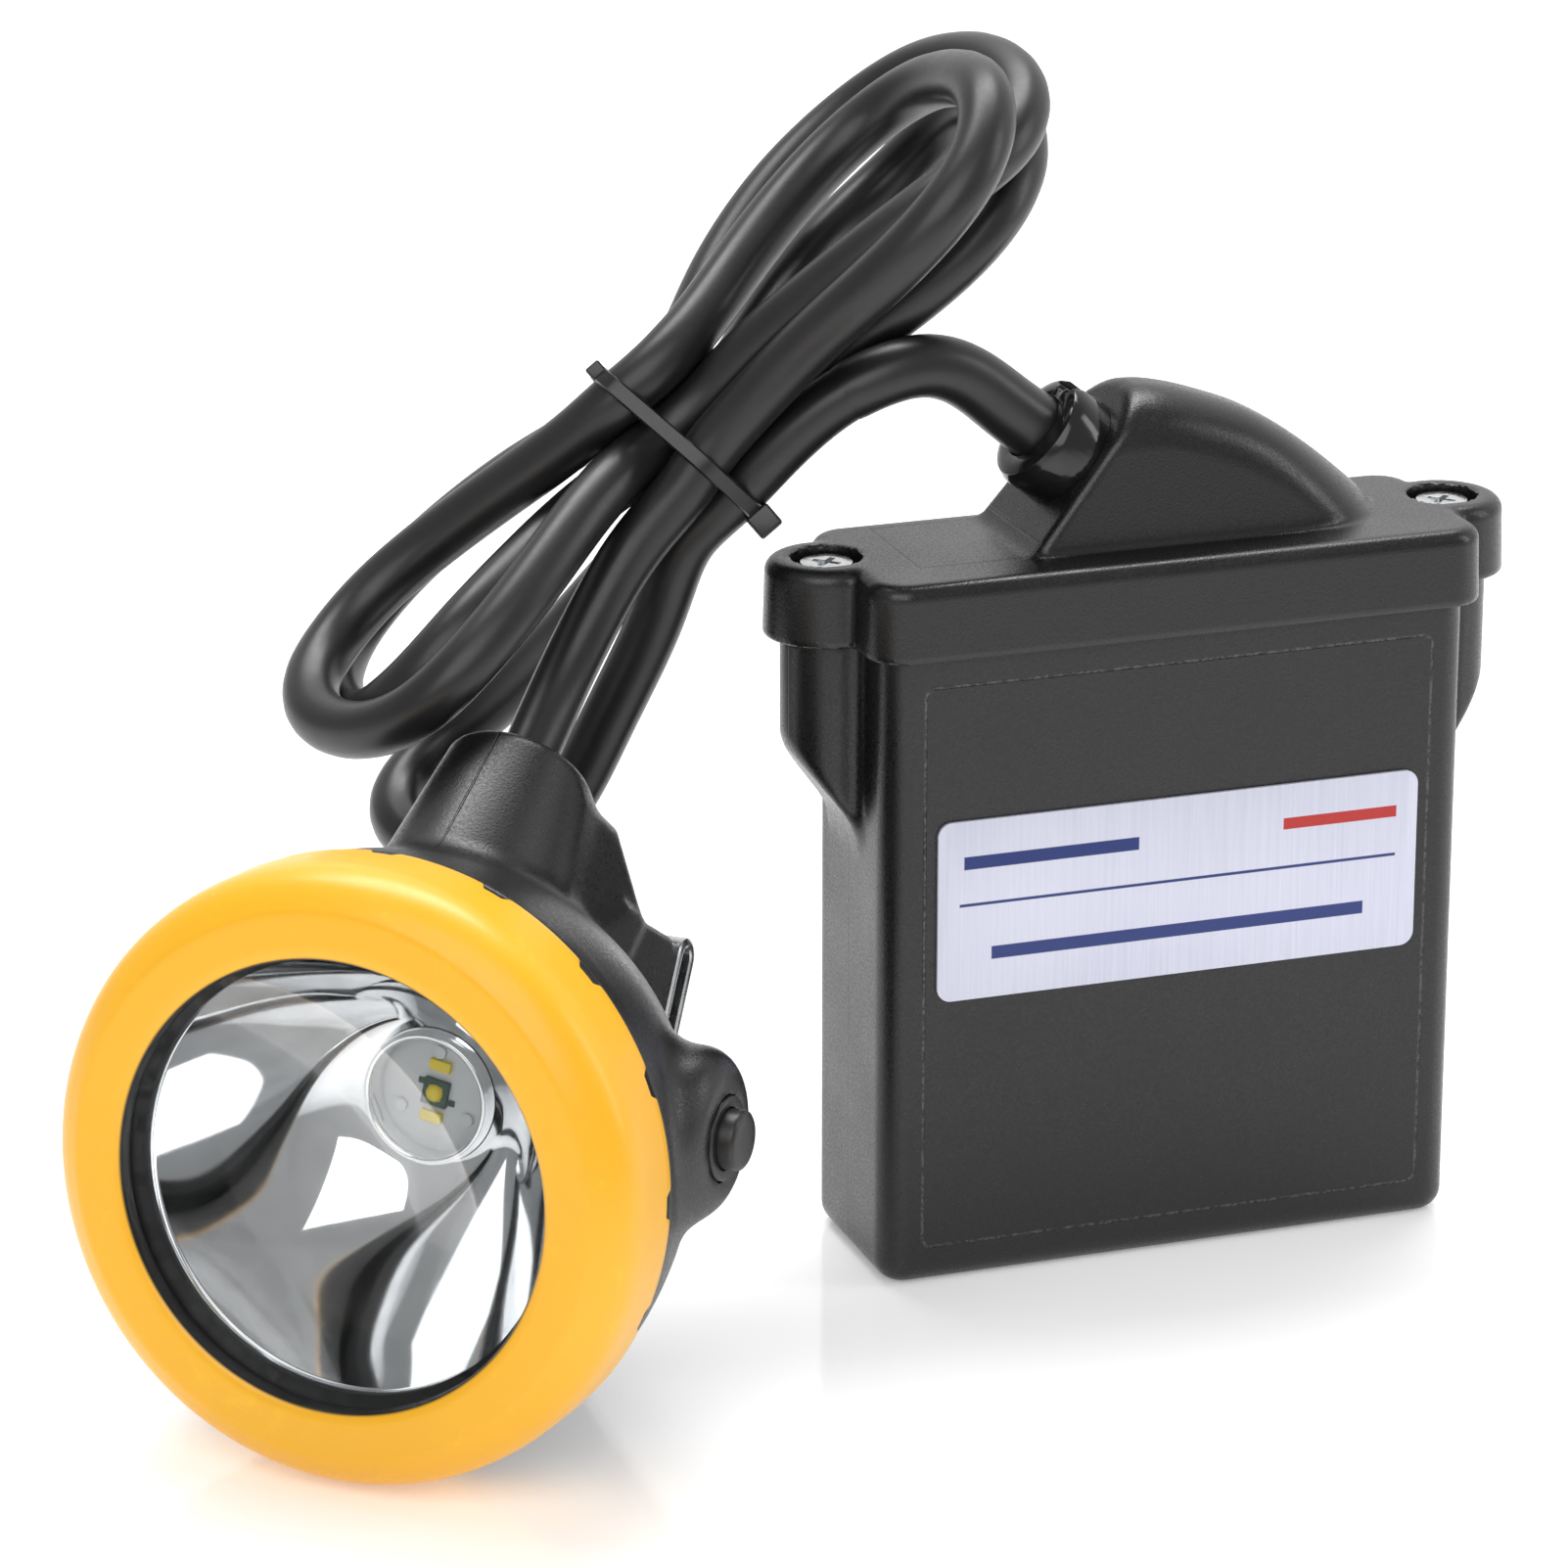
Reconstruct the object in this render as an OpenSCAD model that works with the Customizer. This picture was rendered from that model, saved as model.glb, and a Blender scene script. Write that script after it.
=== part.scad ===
// Miner's cap lamp: a belt battery box, a round headpiece with a screwed bezel, and the rubber cable
// between them, folded into a hank and held by one tie.
//
// Frame: X along the width of the battery, Y away from its label, Z up.
// The origin is on the battery's bottom face, midway between its two lid screws.
// The headpiece has a frame of its own: its lens looks along -Y, its switch is on +X.

/* [Battery case] */
// Width of the battery case
case_w = 83.6; // [83:0.1:90]
// Depth of the battery case
case_d = 28.6; // [26:0.2:32]
// Height of the case, up to the lid
case_h = 89; // [86:1:100]
// Wall thickness of the case
case_wall = 2.4; // [2:0.1:2.4]
// Radius of the case's upright edges
case_r = 4; // [3:0.5:6]
// Distance from the middle of the case to each lid screw
ear_x = 44.6; // [44:0.2:46]

/* [Lid] */
// Height of the lid's flat part
lid_h = 10.4; // [9:0.2:12]
// How far the lid stands out past the case, sideways
lid_over_x = 2; // [1:0.25:3]
// How far the lid stands out past the front of the case
lid_over_front = 2.2; // [1:0.2:3]
// How far the lid stands out past the rear of the case
lid_over_back = 0.6; // [0.4:0.1:1]
// Radius of the cable dome at its highest place
dome_r = 12.3; // [11.8:0.1:12.6]
// Lean of the cable gland from upright
gland_lean = 51; // [48:1:54]

/* [Cells] */
// Diameter of a cell
cell_d = 18.4; // [18.2:0.1:18.4]
// Length of a cell
cell_l = 65; // [64:0.5:66]
// Number of cells in the row
cell_count = 4; // [3:1:4]

/* [Headpiece] */
// Largest radius of the bezel ring
bezel_r = 40; // [39.9:0.1:40.3]
// Radius of the bezel's opening
opening_r = 29; // [28:0.1:29.5]
// Length of the bezel ring along the lamp's axis
bezel_l = 15; // [14:0.5:15]
// Number of grip notches in the bezel's rear edge
notch_count = 16; // [8:1:24]
// Turn of the headpiece about the upright axis
head_turn = -42; // [-44:1:-40]
// Upward tilt of the headpiece
head_tilt = 5; // [4:0.5:6]
// Backward lean of the cable neck
neck_lean = 50; // [48:1:52]

/* [Switch] */
// Radius of the push button
button_r = 3.9; // [3.5:0.1:3.9]
// Travel of the push button
button_travel = 1.5; // [0.5:0.1:1.5]

/* [Helmet clip] */
// Width of the helmet clip
clip_w = 30; // [24:1:30]
// Sheet thickness of the helmet clip
clip_t = 1.4; // [1:0.1:1.4]
// Gap between the clip's base and its spring leaf
clip_gap = 3; // [3:0.1:3.4]
// Lean of the clip from upright
clip_lean = 28; // [26:1:30]
// Length of the clip's spring leaf
leaf_l = 51; // [40:1:52]

/* [Cable] */
// Diameter of the cable
cable_d = 7.6; // [7:0.1:7.6]
// Diameter of the strain relief sleeve where it leaves the gland
sleeve_d = 9.4; // [8.5:0.1:9.4]

/* [Hidden] */
$fn = 64;

// Colours
charcoal = "#2c2c2e";
rubber = "#232325";
cable_grey = "#333336";
golden = "#f7a81b";
chrome = "#c9ccd0";
steel = "#b4b6b9";
brass = "#b79a4e";
board_green = "#2f6b45";
board_white = "#e4e6e8";
cell_blue = "#3d6ea8";
phosphor = "#d8d820";

// Battery
hair = 0.05;
case_y = -1.7;
lid_w = case_w + 2 * lid_over_x;
lid_d = case_d + lid_over_front + lid_over_back;
lid_y = case_y - (lid_over_front - lid_over_back) / 2;
lid_top = case_h + lid_h;
lid_skin = 2.8;
bay_w = case_w - 2 * case_wall;
bay_d = case_d - 2 * case_wall;
case_floor = 2.9;
lid_ear_r = 8.4;
case_ear_r = 6.2;
case_ear_h = 15;
case_foot_h = 12;
screw_r = 1.95;
screw_head_r = 3.5;
screw_head_h = 2.6;
counterbore_r = 4.8;
counterbore_h = 3.4;
insert_r = 3.1;
insert_l = 10;
gasket_w = 1.2;
gasket_h = 1.2;
gasket_inset = 0.6;
plate_w = 69.4;
plate_h = 25.2;
plate_t = 0.5;
plate_z = 53.4;
panel_inset = 5.5;
panel_top = 80;

// Cells and electronics of the battery
cell_pitch = cell_d + 0.4;
strip_t = 0.3;
strip_w = 7;
cell_z = case_floor + strip_t;
holder_h = 6;
spacer_h = 4;
board_t = 1.6;

// Cable dome and gland
dome_x = 4;
dome_z = 107.5;
tail_x = 26;
tail_z = 99;
tail_r = 7;
dome_wall = 2.6;
gland_at = [-10.4, 0, 110.4];
pad_r = 12.8;
pad_t = 7;
nut_r = 8;
nut_h = 6.5;
gland_bore_r = 6;
seal_h = 3;

// Headpiece: stations along the axis, counted back from the front of the bezel
lip_t = 2.6;
lens_t = 2.2;
lens_r = 32;
seal_t = 1.5;
lens_back = lip_t + lens_t;
flange_at = lens_back + seal_t;
flange_t = 1.2;
collar_at = flange_at + flange_t;
collar_r = 34.6;
seat_r = 34.7;
shoulder_at = bezel_l + 0.2;
bowl_r = 39.4;
bezel_wide_at = 6.5;
bezel_rear_r = 39.8;
floor_gap = 0.15;
head_at = [
  -128.75, -52.76,
  bezel_rear_r * cos(head_tilt) + bezel_l * sin(head_tilt) + floor_gap,
];
notch_w = 3.4;
notch_l = 1.3;
reflector_t = 1.1;
reflector_base_r = 13.5;
reflector_base_at = 29.5;
window_r = 9;
led_up = 4.3;
led_board_r = 14;
led_board_at = 31;
led_board_t = 1.6;
sink_at = led_board_at + led_board_t;
sink_t = 3;
post_r = 3;
post_pitch = 20;
post_l = 13.9;
driver_at = 42;

// Neck, in the headpiece's frame
neck_mouth = [0, 54.6, 41];
neck_r = 9.8;
neck_l = 26;
grommet_r = 7;
grommet_l = 8;

// Switch, in the headpiece's frame
switch_y = 30.3;
switch_z = 4.4;
boss_r = 10.8;
boss_x = 40.5;
button_x = 43.2;
switch_stop_x = 32.5;
button_back_x = switch_stop_x + button_travel;
collar_outer_r = 5.5;
collar_back_x = 28;
run_gap = 0.06;

// Clip, in the headpiece's frame
clip_at = [0, 76.1, 12.65];
fold_r = clip_gap / 2 + clip_t;
base_l = 32;
leaf_start = 0.8;
clip_screw_r = 1.5;
clip_head_r = 3;
clip_head_h = 1.2;
lug_w = 29.6;

// Hank: s runs up along the bundle, t across it, d towards its front
hank_at = [-59.8, 9.9, 114.6];
hank_turn = -19.3;
hank_pitch = 18.9;
hank_slant = 41;
hank_front = 28;
hank_back = 34.5;

// Strain relief sleeve: straight out of the gland, then over towards the tie
sleeve_route = [
  [36.9, 35.7, -8.9], [36.5, 34, -8], [35.7, 30.5, -6.2], [34.8, 27.1, -4.4], [33.8, 23.5, -2.5],
  [32.2, 18, 0.4], [29.3, 13, 3.2], [24.5, 10, 5],
];
// Route of the lead from the end of the sleeve to the tie, in the hank's frame [s, t, d]
gland_route = [[24.5, 10, 5], [17, 9, 5], [8, 8.8, 3.5], [0, 9, 2]];
// Loop that hangs lowest, behind the neck
loop_route = [
  [0, 9, 2], [-8, 12, -1.5], [-17.5, 14.5, -6], [-27, 18, -10.5], [-36, 21.5, -13.5],
  [-45, 25, -15.5], [-54, 25.5, -17], [-61, 20, -20], [-64, 13, -27], [-61, 8, -34], [-52, 8, -37],
  [-41, 8, -33.5], [-30, 7.5, -26], [-20, 6.5, -18], [-9, 6, -9.5], [0, 6, -5.5],
];
// Lead from the tie into the neck
head_route = [
  [0, 2.5, 5], [-10, 4.5, 5], [-17, 6.5, 5], [-23.5, 9, 5.3], [-29.7, 11.4, 6.3], [-35.5, 14, 8.3],
  [-40.8, 16.6, 11.2], [-45.8, 19.2, 14.8], [-51.1, 21.9, 18.5],
];

tie_w = 2.6;
tie_t = 1.1;
tie_across = 27.2;
tie_deep = 20.4;
tie_head = 4.4;

// A flat plate with round corners, standing on z = 0
module rounded_plate(w, d, r, h) {
  linear_extrude(h) {
    square([w - 2 * r, d], center = true);
    square([w, d - 2 * r], center = true);
    for (x = [-1, 1], y = [-1, 1]) translate([x * (w / 2 - r), y * (d / 2 - r)]) circle(r);
  }
}

// A flat frame: the rounded plate less its middle
module rounded_frame(w, d, r, border, h) {
  difference() {
    rounded_plate(w, d, r, h);
    translate([0, 0, -1]) rounded_plate(w - 2 * border, d - 2 * border, max(r - border, 0.5), h + 2);
  }
}

// A plain ring about Z
module ring(outer, inner, h) {
  rotate_extrude() translate([inner, 0]) square([outer - inner, h]);
}

// Stands children on the front face of the case, facing -Y
module on_front(z) {
  translate([0, case_y - case_d / 2, z]) rotate([90, 0, 0]) children();
}

// Stands children in the middle of the case
module in_case() {
  translate([0, case_y, 0]) children();
}

// Frame of the cable gland: Z out of the gland
module in_gland() {
  translate(gland_at) rotate([0, -gland_lean, 0]) children();
}

// Frame of the headpiece
module in_head() {
  translate(head_at) rotate([-head_tilt, 0, head_turn]) children();
}

// Frame of the headpiece with Z along the lamp's axis, from the front of the bezel to the rear
module about_axis() {
  in_head() rotate([-90, 0, 0]) children();
}

// Frame of the neck: Z out of its mouth
module in_neck() {
  in_head() translate(neck_mouth) rotate([-neck_lean, 0, 0]) children();
}

// Frame of the switch: Z out of the boss, along the headpiece's +X
module in_switch(x) {
  in_head() translate([x, switch_y, switch_z]) rotate([0, 90, 0]) children();
}

// Frame of the clip: -Z down the leaf, +Y to the rear, X along the fold
module in_clip() {
  in_head() translate(clip_at) rotate([-clip_lean, 0, 0]) children();
}

// Frame of the hank: X up along the bundle, Y across it, Z towards its front
module in_hank() {
  translate(hank_at)
    rotate([0, 0, hank_turn])
      rotate([90 - hank_pitch, 0, 0])
        rotate([0, 0, hank_slant])
          mirror([0, 1, 0]) children();
}

// A tube swept along a route, as one closed polyhedron
function unit(v) = v / norm(v);
function heading(path, i) =
  unit(path[min(i + 1, len(path) - 1)] - path[max(i - 1, 0)]);
module tube(path, r_start, r_end, sides = 10) {
  last = len(path) - 1;
  rings = [
    for (i = [0:last])
      let (
        ahead = heading(path, i),
        side = unit(cross(ahead, [0.12, 1, 0.31])),
        up = cross(side, ahead),
        r = r_start + (r_end - r_start) * i / last
      )
      for (k = [0:sides - 1])
        let (a = 360 * k / sides) path[i] + r * (cos(a) * side + sin(a) * up)
  ];
  skin = [
    for (i = [0:last - 1], k = [0:sides - 1])
      let (n = (k + 1) % sides, a = i * sides, b = a + sides) [a + k, a + n, b + n, b + k]
  ];
  start = [for (k = [0:sides - 1]) sides - 1 - k];
  end = [for (k = [0:sides - 1]) last * sides + k];
  polyhedron(points = rings, faces = concat([start], skin, [end]), convexity = 10);
}

// ---- Battery ----

module case_ear(side) {
  bottom = case_h - case_ear_h - case_foot_h;
  out = ear_x + case_ear_r;
  difference() {
    union() {
      translate([side * ear_x, 0, bottom]) cylinder(r = case_ear_r, h = case_h - bottom);
      translate([side > 0 ? case_w / 2 - 1 : -ear_x, -case_ear_r, bottom])
        cube([ear_x - case_w / 2 + 1, 2 * case_ear_r, case_h - bottom]);
    }
    rotate([90, 0, 0])
      linear_extrude(4 * case_ear_r, center = true)
        polygon([
          [side * case_w / 2, bottom], [side * out, case_h - case_ear_h],
          [side * (out + 5), case_h - case_ear_h], [side * (out + 5), bottom - 5],
          [side * case_w / 2, bottom - 5],
        ]);
  }
}

module battery_case() {
  color(charcoal)
    difference() {
      union() {
        in_case() rounded_plate(case_w, case_d, case_r, case_h);
        case_ear(-1);
        case_ear(1);
      }
      in_case() translate([0, 0, case_floor]) rounded_plate(bay_w, bay_d, 1, case_h);
      in_case() translate([0, 0, case_h - gasket_h])
        rounded_frame(case_w - 2 * gasket_inset, case_d - 2 * gasket_inset, case_r - gasket_inset,
                      gasket_w, gasket_h + 1);
      for (x = [-ear_x, ear_x])
        translate([x, 0, case_h - insert_l]) cylinder(r = insert_r, h = insert_l + 1);
      on_front((panel_top + panel_inset) / 2)
        translate([0, 0, -0.3])
          rounded_frame(case_w - 2 * panel_inset, panel_top - panel_inset, 3, 0.5, 1);
    }
}

module lid_gasket() {
  color(rubber)
    in_case() translate([0, 0, case_h - gasket_h])
      rounded_frame(case_w - 2 * gasket_inset, case_d - 2 * gasket_inset, case_r - gasket_inset,
                    gasket_w, gasket_h);
}

module thread_inserts() {
  color(brass)
    for (x = [-ear_x, ear_x])
      translate([x, 0, case_h - insert_l]) ring(insert_r, screw_r + hair, insert_l);
}

module dome(r, tail, pad) {
  hull() {
    translate([dome_x, 0, dome_z]) sphere(r, $fn = 48);
    translate([tail_x, 0, tail_z]) sphere(tail, $fn = 32);
    in_gland() translate([0, 0, -pad_t]) cylinder(r = pad, h = pad_t - (dome_r - r), $fn = 48);
  }
}

module battery_lid() {
  color(charcoal)
    difference() {
      union() {
        translate([0, lid_y, case_h]) rounded_plate(lid_w, lid_d, case_r + 1, lid_h);
        for (x = [-ear_x, ear_x])
          translate([x, 0, case_h]) cylinder(r = lid_ear_r, h = lid_h);
        dome(dome_r, tail_r, pad_r);
      }
      in_case() translate([0, 0, case_h - 1]) rounded_plate(bay_w, bay_d, 1, lid_h - lid_skin + 1);
      dome(dome_r - dome_wall, tail_r - dome_wall, pad_r - dome_wall);
      for (x = [-ear_x, ear_x]) {
        translate([x, 0, case_h - 1]) cylinder(r = screw_r + hair, h = lid_h + 2);
        translate([x, 0, lid_top - counterbore_h]) cylinder(r = counterbore_r, h = counterbore_h + 1);
      }
      in_gland() translate([0, 0, -pad_t]) cylinder(r = gland_bore_r, h = pad_t + 1);
      in_gland() translate([nut_r - 1.4, 0, -2]) cylinder(r = 1, h = 4);
    }
}

module lid_screws() {
  shank_bottom = case_h - insert_l + 0.5;
  head_bottom = lid_top - counterbore_h;
  color(steel)
    for (x = [-ear_x, ear_x])
      translate([x, 0, 0])
        difference() {
          union() {
            translate([0, 0, head_bottom]) cylinder(r = screw_head_r, h = screw_head_h);
            translate([0, 0, shank_bottom]) cylinder(r = screw_r, h = head_bottom - shank_bottom + 1);
          }
          for (a = [45, 135])
            translate([0, 0, head_bottom + screw_head_h])
              rotate([0, 0, a]) cube([4, 0.9, 2.4], center = true);
        }
}

module gland_nut() {
  color(rubber)
    in_gland()
      difference() {
        rotate_extrude()
          polygon([
            [sleeve_d / 2 + hair, -4], [gland_bore_r - hair, -4], [gland_bore_r - hair, 0], [nut_r, 0],
            [nut_r, nut_h - 1.6], [nut_r - 0.6, nut_h - 0.4], [nut_r - 1.8, nut_h],
            [sleeve_d / 2 + hair, nut_h],
          ]);
        translate([nut_r - 1.4, -2.2, 1.5]) cube([3, 4.4, nut_h]);
        translate([nut_r - 1.4, 0, -2.5]) cylinder(r = 1, h = nut_h + 3.5);
      }
}

module gland_seal() {
  color(rubber)
    in_gland() translate([0, 0, -4 - seal_h]) ring(gland_bore_r - hair, sleeve_d / 2 + hair, seal_h);
}

module gland_pin() {
  color(charcoal) in_gland() translate([nut_r - 1.4, 0, -2]) cylinder(r = 0.95, h = nut_h);
}

module nameplate() {
  color("#b9b4c6") on_front(plate_z) rounded_plate(plate_w, plate_h, 2, plate_t);
}

// Places children at every cell of the row
module each_cell() {
  for (i = [0:cell_count - 1]) translate([(i - (cell_count - 1) / 2) * cell_pitch, 0, 0]) children();
}

module battery_cells() {
  color(cell_blue) in_case() each_cell() translate([0, 0, cell_z]) cylinder(d = cell_d, h = cell_l);
}

module cell_tray() {
  difference() {
    rounded_plate(bay_w - 0.6, bay_d - 0.6, 1, holder_h);
    translate([0, 0, -1]) each_cell() cylinder(d = cell_d + 0.1, h = holder_h + 2);
  }
}

module cell_holders() {
  spacer_z = cell_z + cell_l;
  color("#1e1e20") in_case() {
    translate([0, 0, cell_z]) cell_tray();
    translate([0, 0, spacer_z - holder_h]) cell_tray();
    for (x = [-1, 1], y = [-1, 1])
      translate([x * 35.5, y * 7.6, spacer_z - 1]) cylinder(r = 1.2, h = spacer_h + 1);
  }
}

module nickel_strips() {
  w = (cell_count - 1) * cell_pitch + 8;
  color(steel)
    for (z = [case_floor, cell_z + cell_l])
      translate([-w / 2, case_y - strip_w / 2, z]) cube([w, strip_w, strip_t]);
}

module protection_board() {
  z = cell_z + cell_l + spacer_h;
  color(board_green)
    translate([0, case_y, z]) {
      rounded_plate(74, 18, 1, board_t);
      for (x = [-22, -8, 6]) translate([x, 0, board_t + 0.7]) cube([8, 6, 1.6], center = true);
      translate([24, 0, board_t + 1.4]) cube([10, 12, 3], center = true);
    }
}

module strain_relief() {
  color(rubber) in_hank() tube(sleeve_route, sleeve_d / 2, cable_d / 2 + 0.2, 12);
}

// ---- Headpiece ----

module bezel_ring() {
  color(golden)
    difference() {
      about_axis()
        rotate_extrude($fn = 96)
          polygon([
            [opening_r, 1], [opening_r + 0.8, 0.2], [opening_r + 2, 0], [35.4, 0.3], [37.4, 1.2],
            [38.9, 2.5], [39.7, 4.3], [bezel_r, bezel_wide_at], [bezel_r, 9], [bezel_rear_r, bezel_l],
            [seat_r, bezel_l], [seat_r, lens_back], [lens_r + 0.1, lens_back], [lens_r + 0.1, lip_t],
            [opening_r, lip_t],
          ]);
      about_axis()
        for (i = [0:notch_count - 1])
          rotate([0, 0, i * 360 / notch_count])
            translate([bezel_r, 0, bezel_l]) cube([9, notch_w, 2 * notch_l], center = true);
    }
}

module lens() {
  color("#dfe9ef", 0.35) about_axis() translate([0, 0, lip_t]) cylinder(r = lens_r, h = lens_t);
}

module lens_gasket() {
  color(rubber)
    about_axis() translate([0, 0, lens_back]) ring(seat_r - 0.1, opening_r - 0.9, seal_t);
}

// Radius of the reflector's inner face at a station
function reflector_at(x) =
  let (u = (reflector_base_at - x) / (reflector_base_at - collar_at))
  reflector_base_r + (28.4 - reflector_base_r) * pow(u, 0.62);

module reflector() {
  steps = 12;
  front = [
    for (i = [0:steps])
      let (x = reflector_base_at - (reflector_base_at - collar_at) * pow(i / steps, 1.6))
      [reflector_at(x), x]
  ];
  color(chrome)
    about_axis()
      rotate_extrude($fn = 96)
        polygon(concat(
          [[reflector_base_r, led_board_at - 0.2]], front,
          [[28.4, flange_at], [seat_r - 0.1, flange_at], [seat_r - 0.1, collar_at], [31.6, collar_at]],
          [for (i = [steps:-1:0]) [front[i][0] + 1.4 * reflector_t, front[i][1] + reflector_t * 0.9]],
          [[reflector_base_r + 1.5, led_board_at - 0.2]]
        ));
}

// The light window and its LEDs sit above the headpiece's axis
module about_window() {
  about_axis() translate([0, -led_up, 0]) children();
}

module led_ring() {
  color(chrome)
    about_window()
      translate([0, 0, reflector_base_at - 2.4])
        rotate_extrude()
          polygon([
            [window_r - 1.2, 0.6], [window_r - 0.7, 0], [window_r - 0.1, 0.4], [window_r - 0.1, 3.9],
            [window_r - 1.2, 3.9],
          ]);
}

module led_board() {
  color(board_white)
    about_axis() translate([0, 0, led_board_at]) cylinder(r = led_board_r, h = led_board_t);
}

module main_led() {
  color(phosphor)
    about_window()
      translate([0, 0, led_board_at]) {
        translate([0, 0, -0.4]) cube([3.5, 3.5, 0.8], center = true);
        translate([0, 0, -0.8]) scale([1, 1, 0.7]) sphere(1.1);
      }
}

module aux_leds() {
  color(phosphor)
    about_window()
      for (y = [-3.7, 3.3]) translate([0, y, led_board_at - 0.4]) cube([2.9, 1.4, 0.8], center = true);
}

module board_screws() {
  color(chrome)
    about_window()
      for (a = [35, 155, 275])
        rotate([0, 0, a]) translate([5.4, 0, led_board_at - 0.6]) cylinder(r = 0.85, h = 0.6);
}

// Places children at the three posts inside the housing
module each_post() {
  about_axis() for (a = [30, 150, 270]) rotate([0, 0, a]) translate([post_pitch, 0, 0]) children();
}

module heat_sink() {
  color("#9fa3a8")
    difference() {
      about_axis()
        translate([0, 0, sink_at]) {
          cylinder(r = post_pitch + 4, h = sink_t);
          for (x = [-9, -3, 3, 9]) translate([x - 0.8, -10, sink_t - 0.5]) cube([1.6, 20, 6]);
        }
      each_post() translate([0, 0, sink_at - 1]) cylinder(r = 1.3, h = sink_t + 2);
    }
}

module heat_sink_screws() {
  color(steel)
    each_post()
      translate([0, 0, sink_at - 1.4]) {
        cylinder(r = 2.2, h = 1.4);
        cylinder(r = 1.25, h = sink_t + 5);
      }
}

module driver_board() {
  color(board_green)
    about_axis()
      translate([0, 0, driver_at]) {
        cylinder(r = 15, h = board_t);
        translate([-4, -3, board_t - 0.1]) cube([8, 6, 2.2]);
        translate([-8, 5, board_t - 0.1]) cube([5, 4, 1.6]);
      }
}

// Half section of the bowl, from the front collar to the rear: [radius, station]
bowl_outer = [
  [bowl_r, shoulder_at], [39, 18.5], [37.9, 24], [36.2, 30], [34, 35.5], [31.2, 41.5], [26, 48],
  [18.5, 53.4], [9, 56.7], [0, 57.6],
];
bowl_inner = [
  [32, 16], [35.8, 18.5], [35.4, 22], [34, 28], [31.4, 34.5], [28.6, 40.3], [23.8, 46.2], [17, 51.1],
  [8.2, 54.2], [0, 55],
];

module bowl() {
  about_axis()
    rotate_extrude($fn = 96)
      polygon(concat([[0, collar_at], [collar_r, collar_at], [collar_r, shoulder_at]], bowl_outer));
}

// Outline of the rear lug and the gusset under the neck, seen from the side: [y, z]
lug_outline = [
  [45.8, 24.3], [56.3, 25], [60.8, 22.1], [71.7, 16.75], [73.4, 13.8], [60.2, -11.05], [55.8, -13.25],
  [46, 0],
];
gusset_outline = [[36.5, 29.6], [50.8, 42.3], [61.1, 34.1], [63.2, 20.7], [50.8, 14]];

module housing_body() {
  bowl();
  in_neck() translate([0, 0, -neck_l]) cylinder(r1 = neck_r + 3.4, r2 = neck_r, h = neck_l);
  in_head() {
    rotate([90, 0, 90]) linear_extrude(lug_w, center = true) polygon(lug_outline);
    rotate([90, 0, 90]) linear_extrude(1.9 * neck_r, center = true) polygon(gusset_outline);
  }
  in_switch(20) cylinder(r = boss_r, h = boss_x - 20);
}

// What has to stay empty inside the housing
module bowl_hollow() {
  about_axis() rotate_extrude($fn = 96) polygon(concat([[0, collar_at - 1], [32, collar_at - 1]], bowl_inner));
}

module lamp_housing() {
  color(charcoal)
    difference() {
      union() {
        difference() {
          housing_body();
          bowl_hollow();
        }
        each_post() translate([0, 0, sink_at + sink_t]) cylinder(r = post_r, h = post_l);
      }
      each_post() translate([0, 0, sink_at]) cylinder(r = 1.25, h = 9);
      in_neck() translate([0, 0, -neck_l - 10]) cylinder(r = cable_d / 2 + 0.2, h = neck_l + 20);
      in_neck() translate([0, 0, -grommet_l]) cylinder(r = grommet_r, h = grommet_l + 1);
      in_switch(collar_back_x - 4) cylinder(r = collar_outer_r, h = 30);
      in_clip() for (z = [-9, -24])
        translate([0, -fold_r + 1, z]) rotate([90, 0, 0]) cylinder(r = clip_screw_r, h = 9);
    }
}

module neck_grommet() {
  color(rubber)
    in_neck()
      translate([0, 0, -grommet_l])
        rotate_extrude()
          polygon([
            [cable_d / 2 + hair, 0], [grommet_r - hair, 0], [grommet_r - hair, grommet_l],
            [grommet_r - 1, grommet_l + 0.8], [cable_d / 2 + hair, grommet_l + 0.8],
          ]);
}

// ---- Switch ----

module switch_button() {
  color(rubber)
    in_switch(button_back_x) {
      cylinder(r = button_r, h = button_x - button_back_x - 0.5);
      translate([0, 0, button_x - button_back_x - 0.5]) cylinder(r1 = button_r, r2 = button_r - 0.4, h = 0.5);
    }
}

module button_collar() {
  seat_x = 33;
  color(charcoal)
    in_switch(collar_back_x)
      difference() {
        cylinder(r = collar_outer_r - hair, h = boss_x + 0.3 - collar_back_x);
        translate([0, 0, seat_x - collar_back_x - 1]) cylinder(r = button_r + run_gap, h = 20);
        translate([0, 0, -1]) cylinder(r = 4.35, h = seat_x - collar_back_x + 1);
      }
}

module tact_switch() {
  color(steel)
    in_switch(collar_back_x - 1) {
      cylinder(r = collar_outer_r - hair, h = 1);
      translate([-3, -3, 0.5]) cube([6, 6, 3.9]);
      cylinder(r = 1.5, h = 5.2);
    }
}

module button_spring() {
  wire_r = 0.25;
  coil_r = 2.6;
  turns = 2;
  front = button_back_x - wire_r;
  rear = collar_back_x + 3.4 + wire_r;
  steps = turns * 12;
  color(steel)
    in_switch(rear)
      tube([for (i = [0:steps])
        [coil_r * cos(30 * i), coil_r * sin(30 * i), (front - rear) * i / steps]], wire_r, wire_r, 6);
}

// ---- Helmet clip ----

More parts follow.
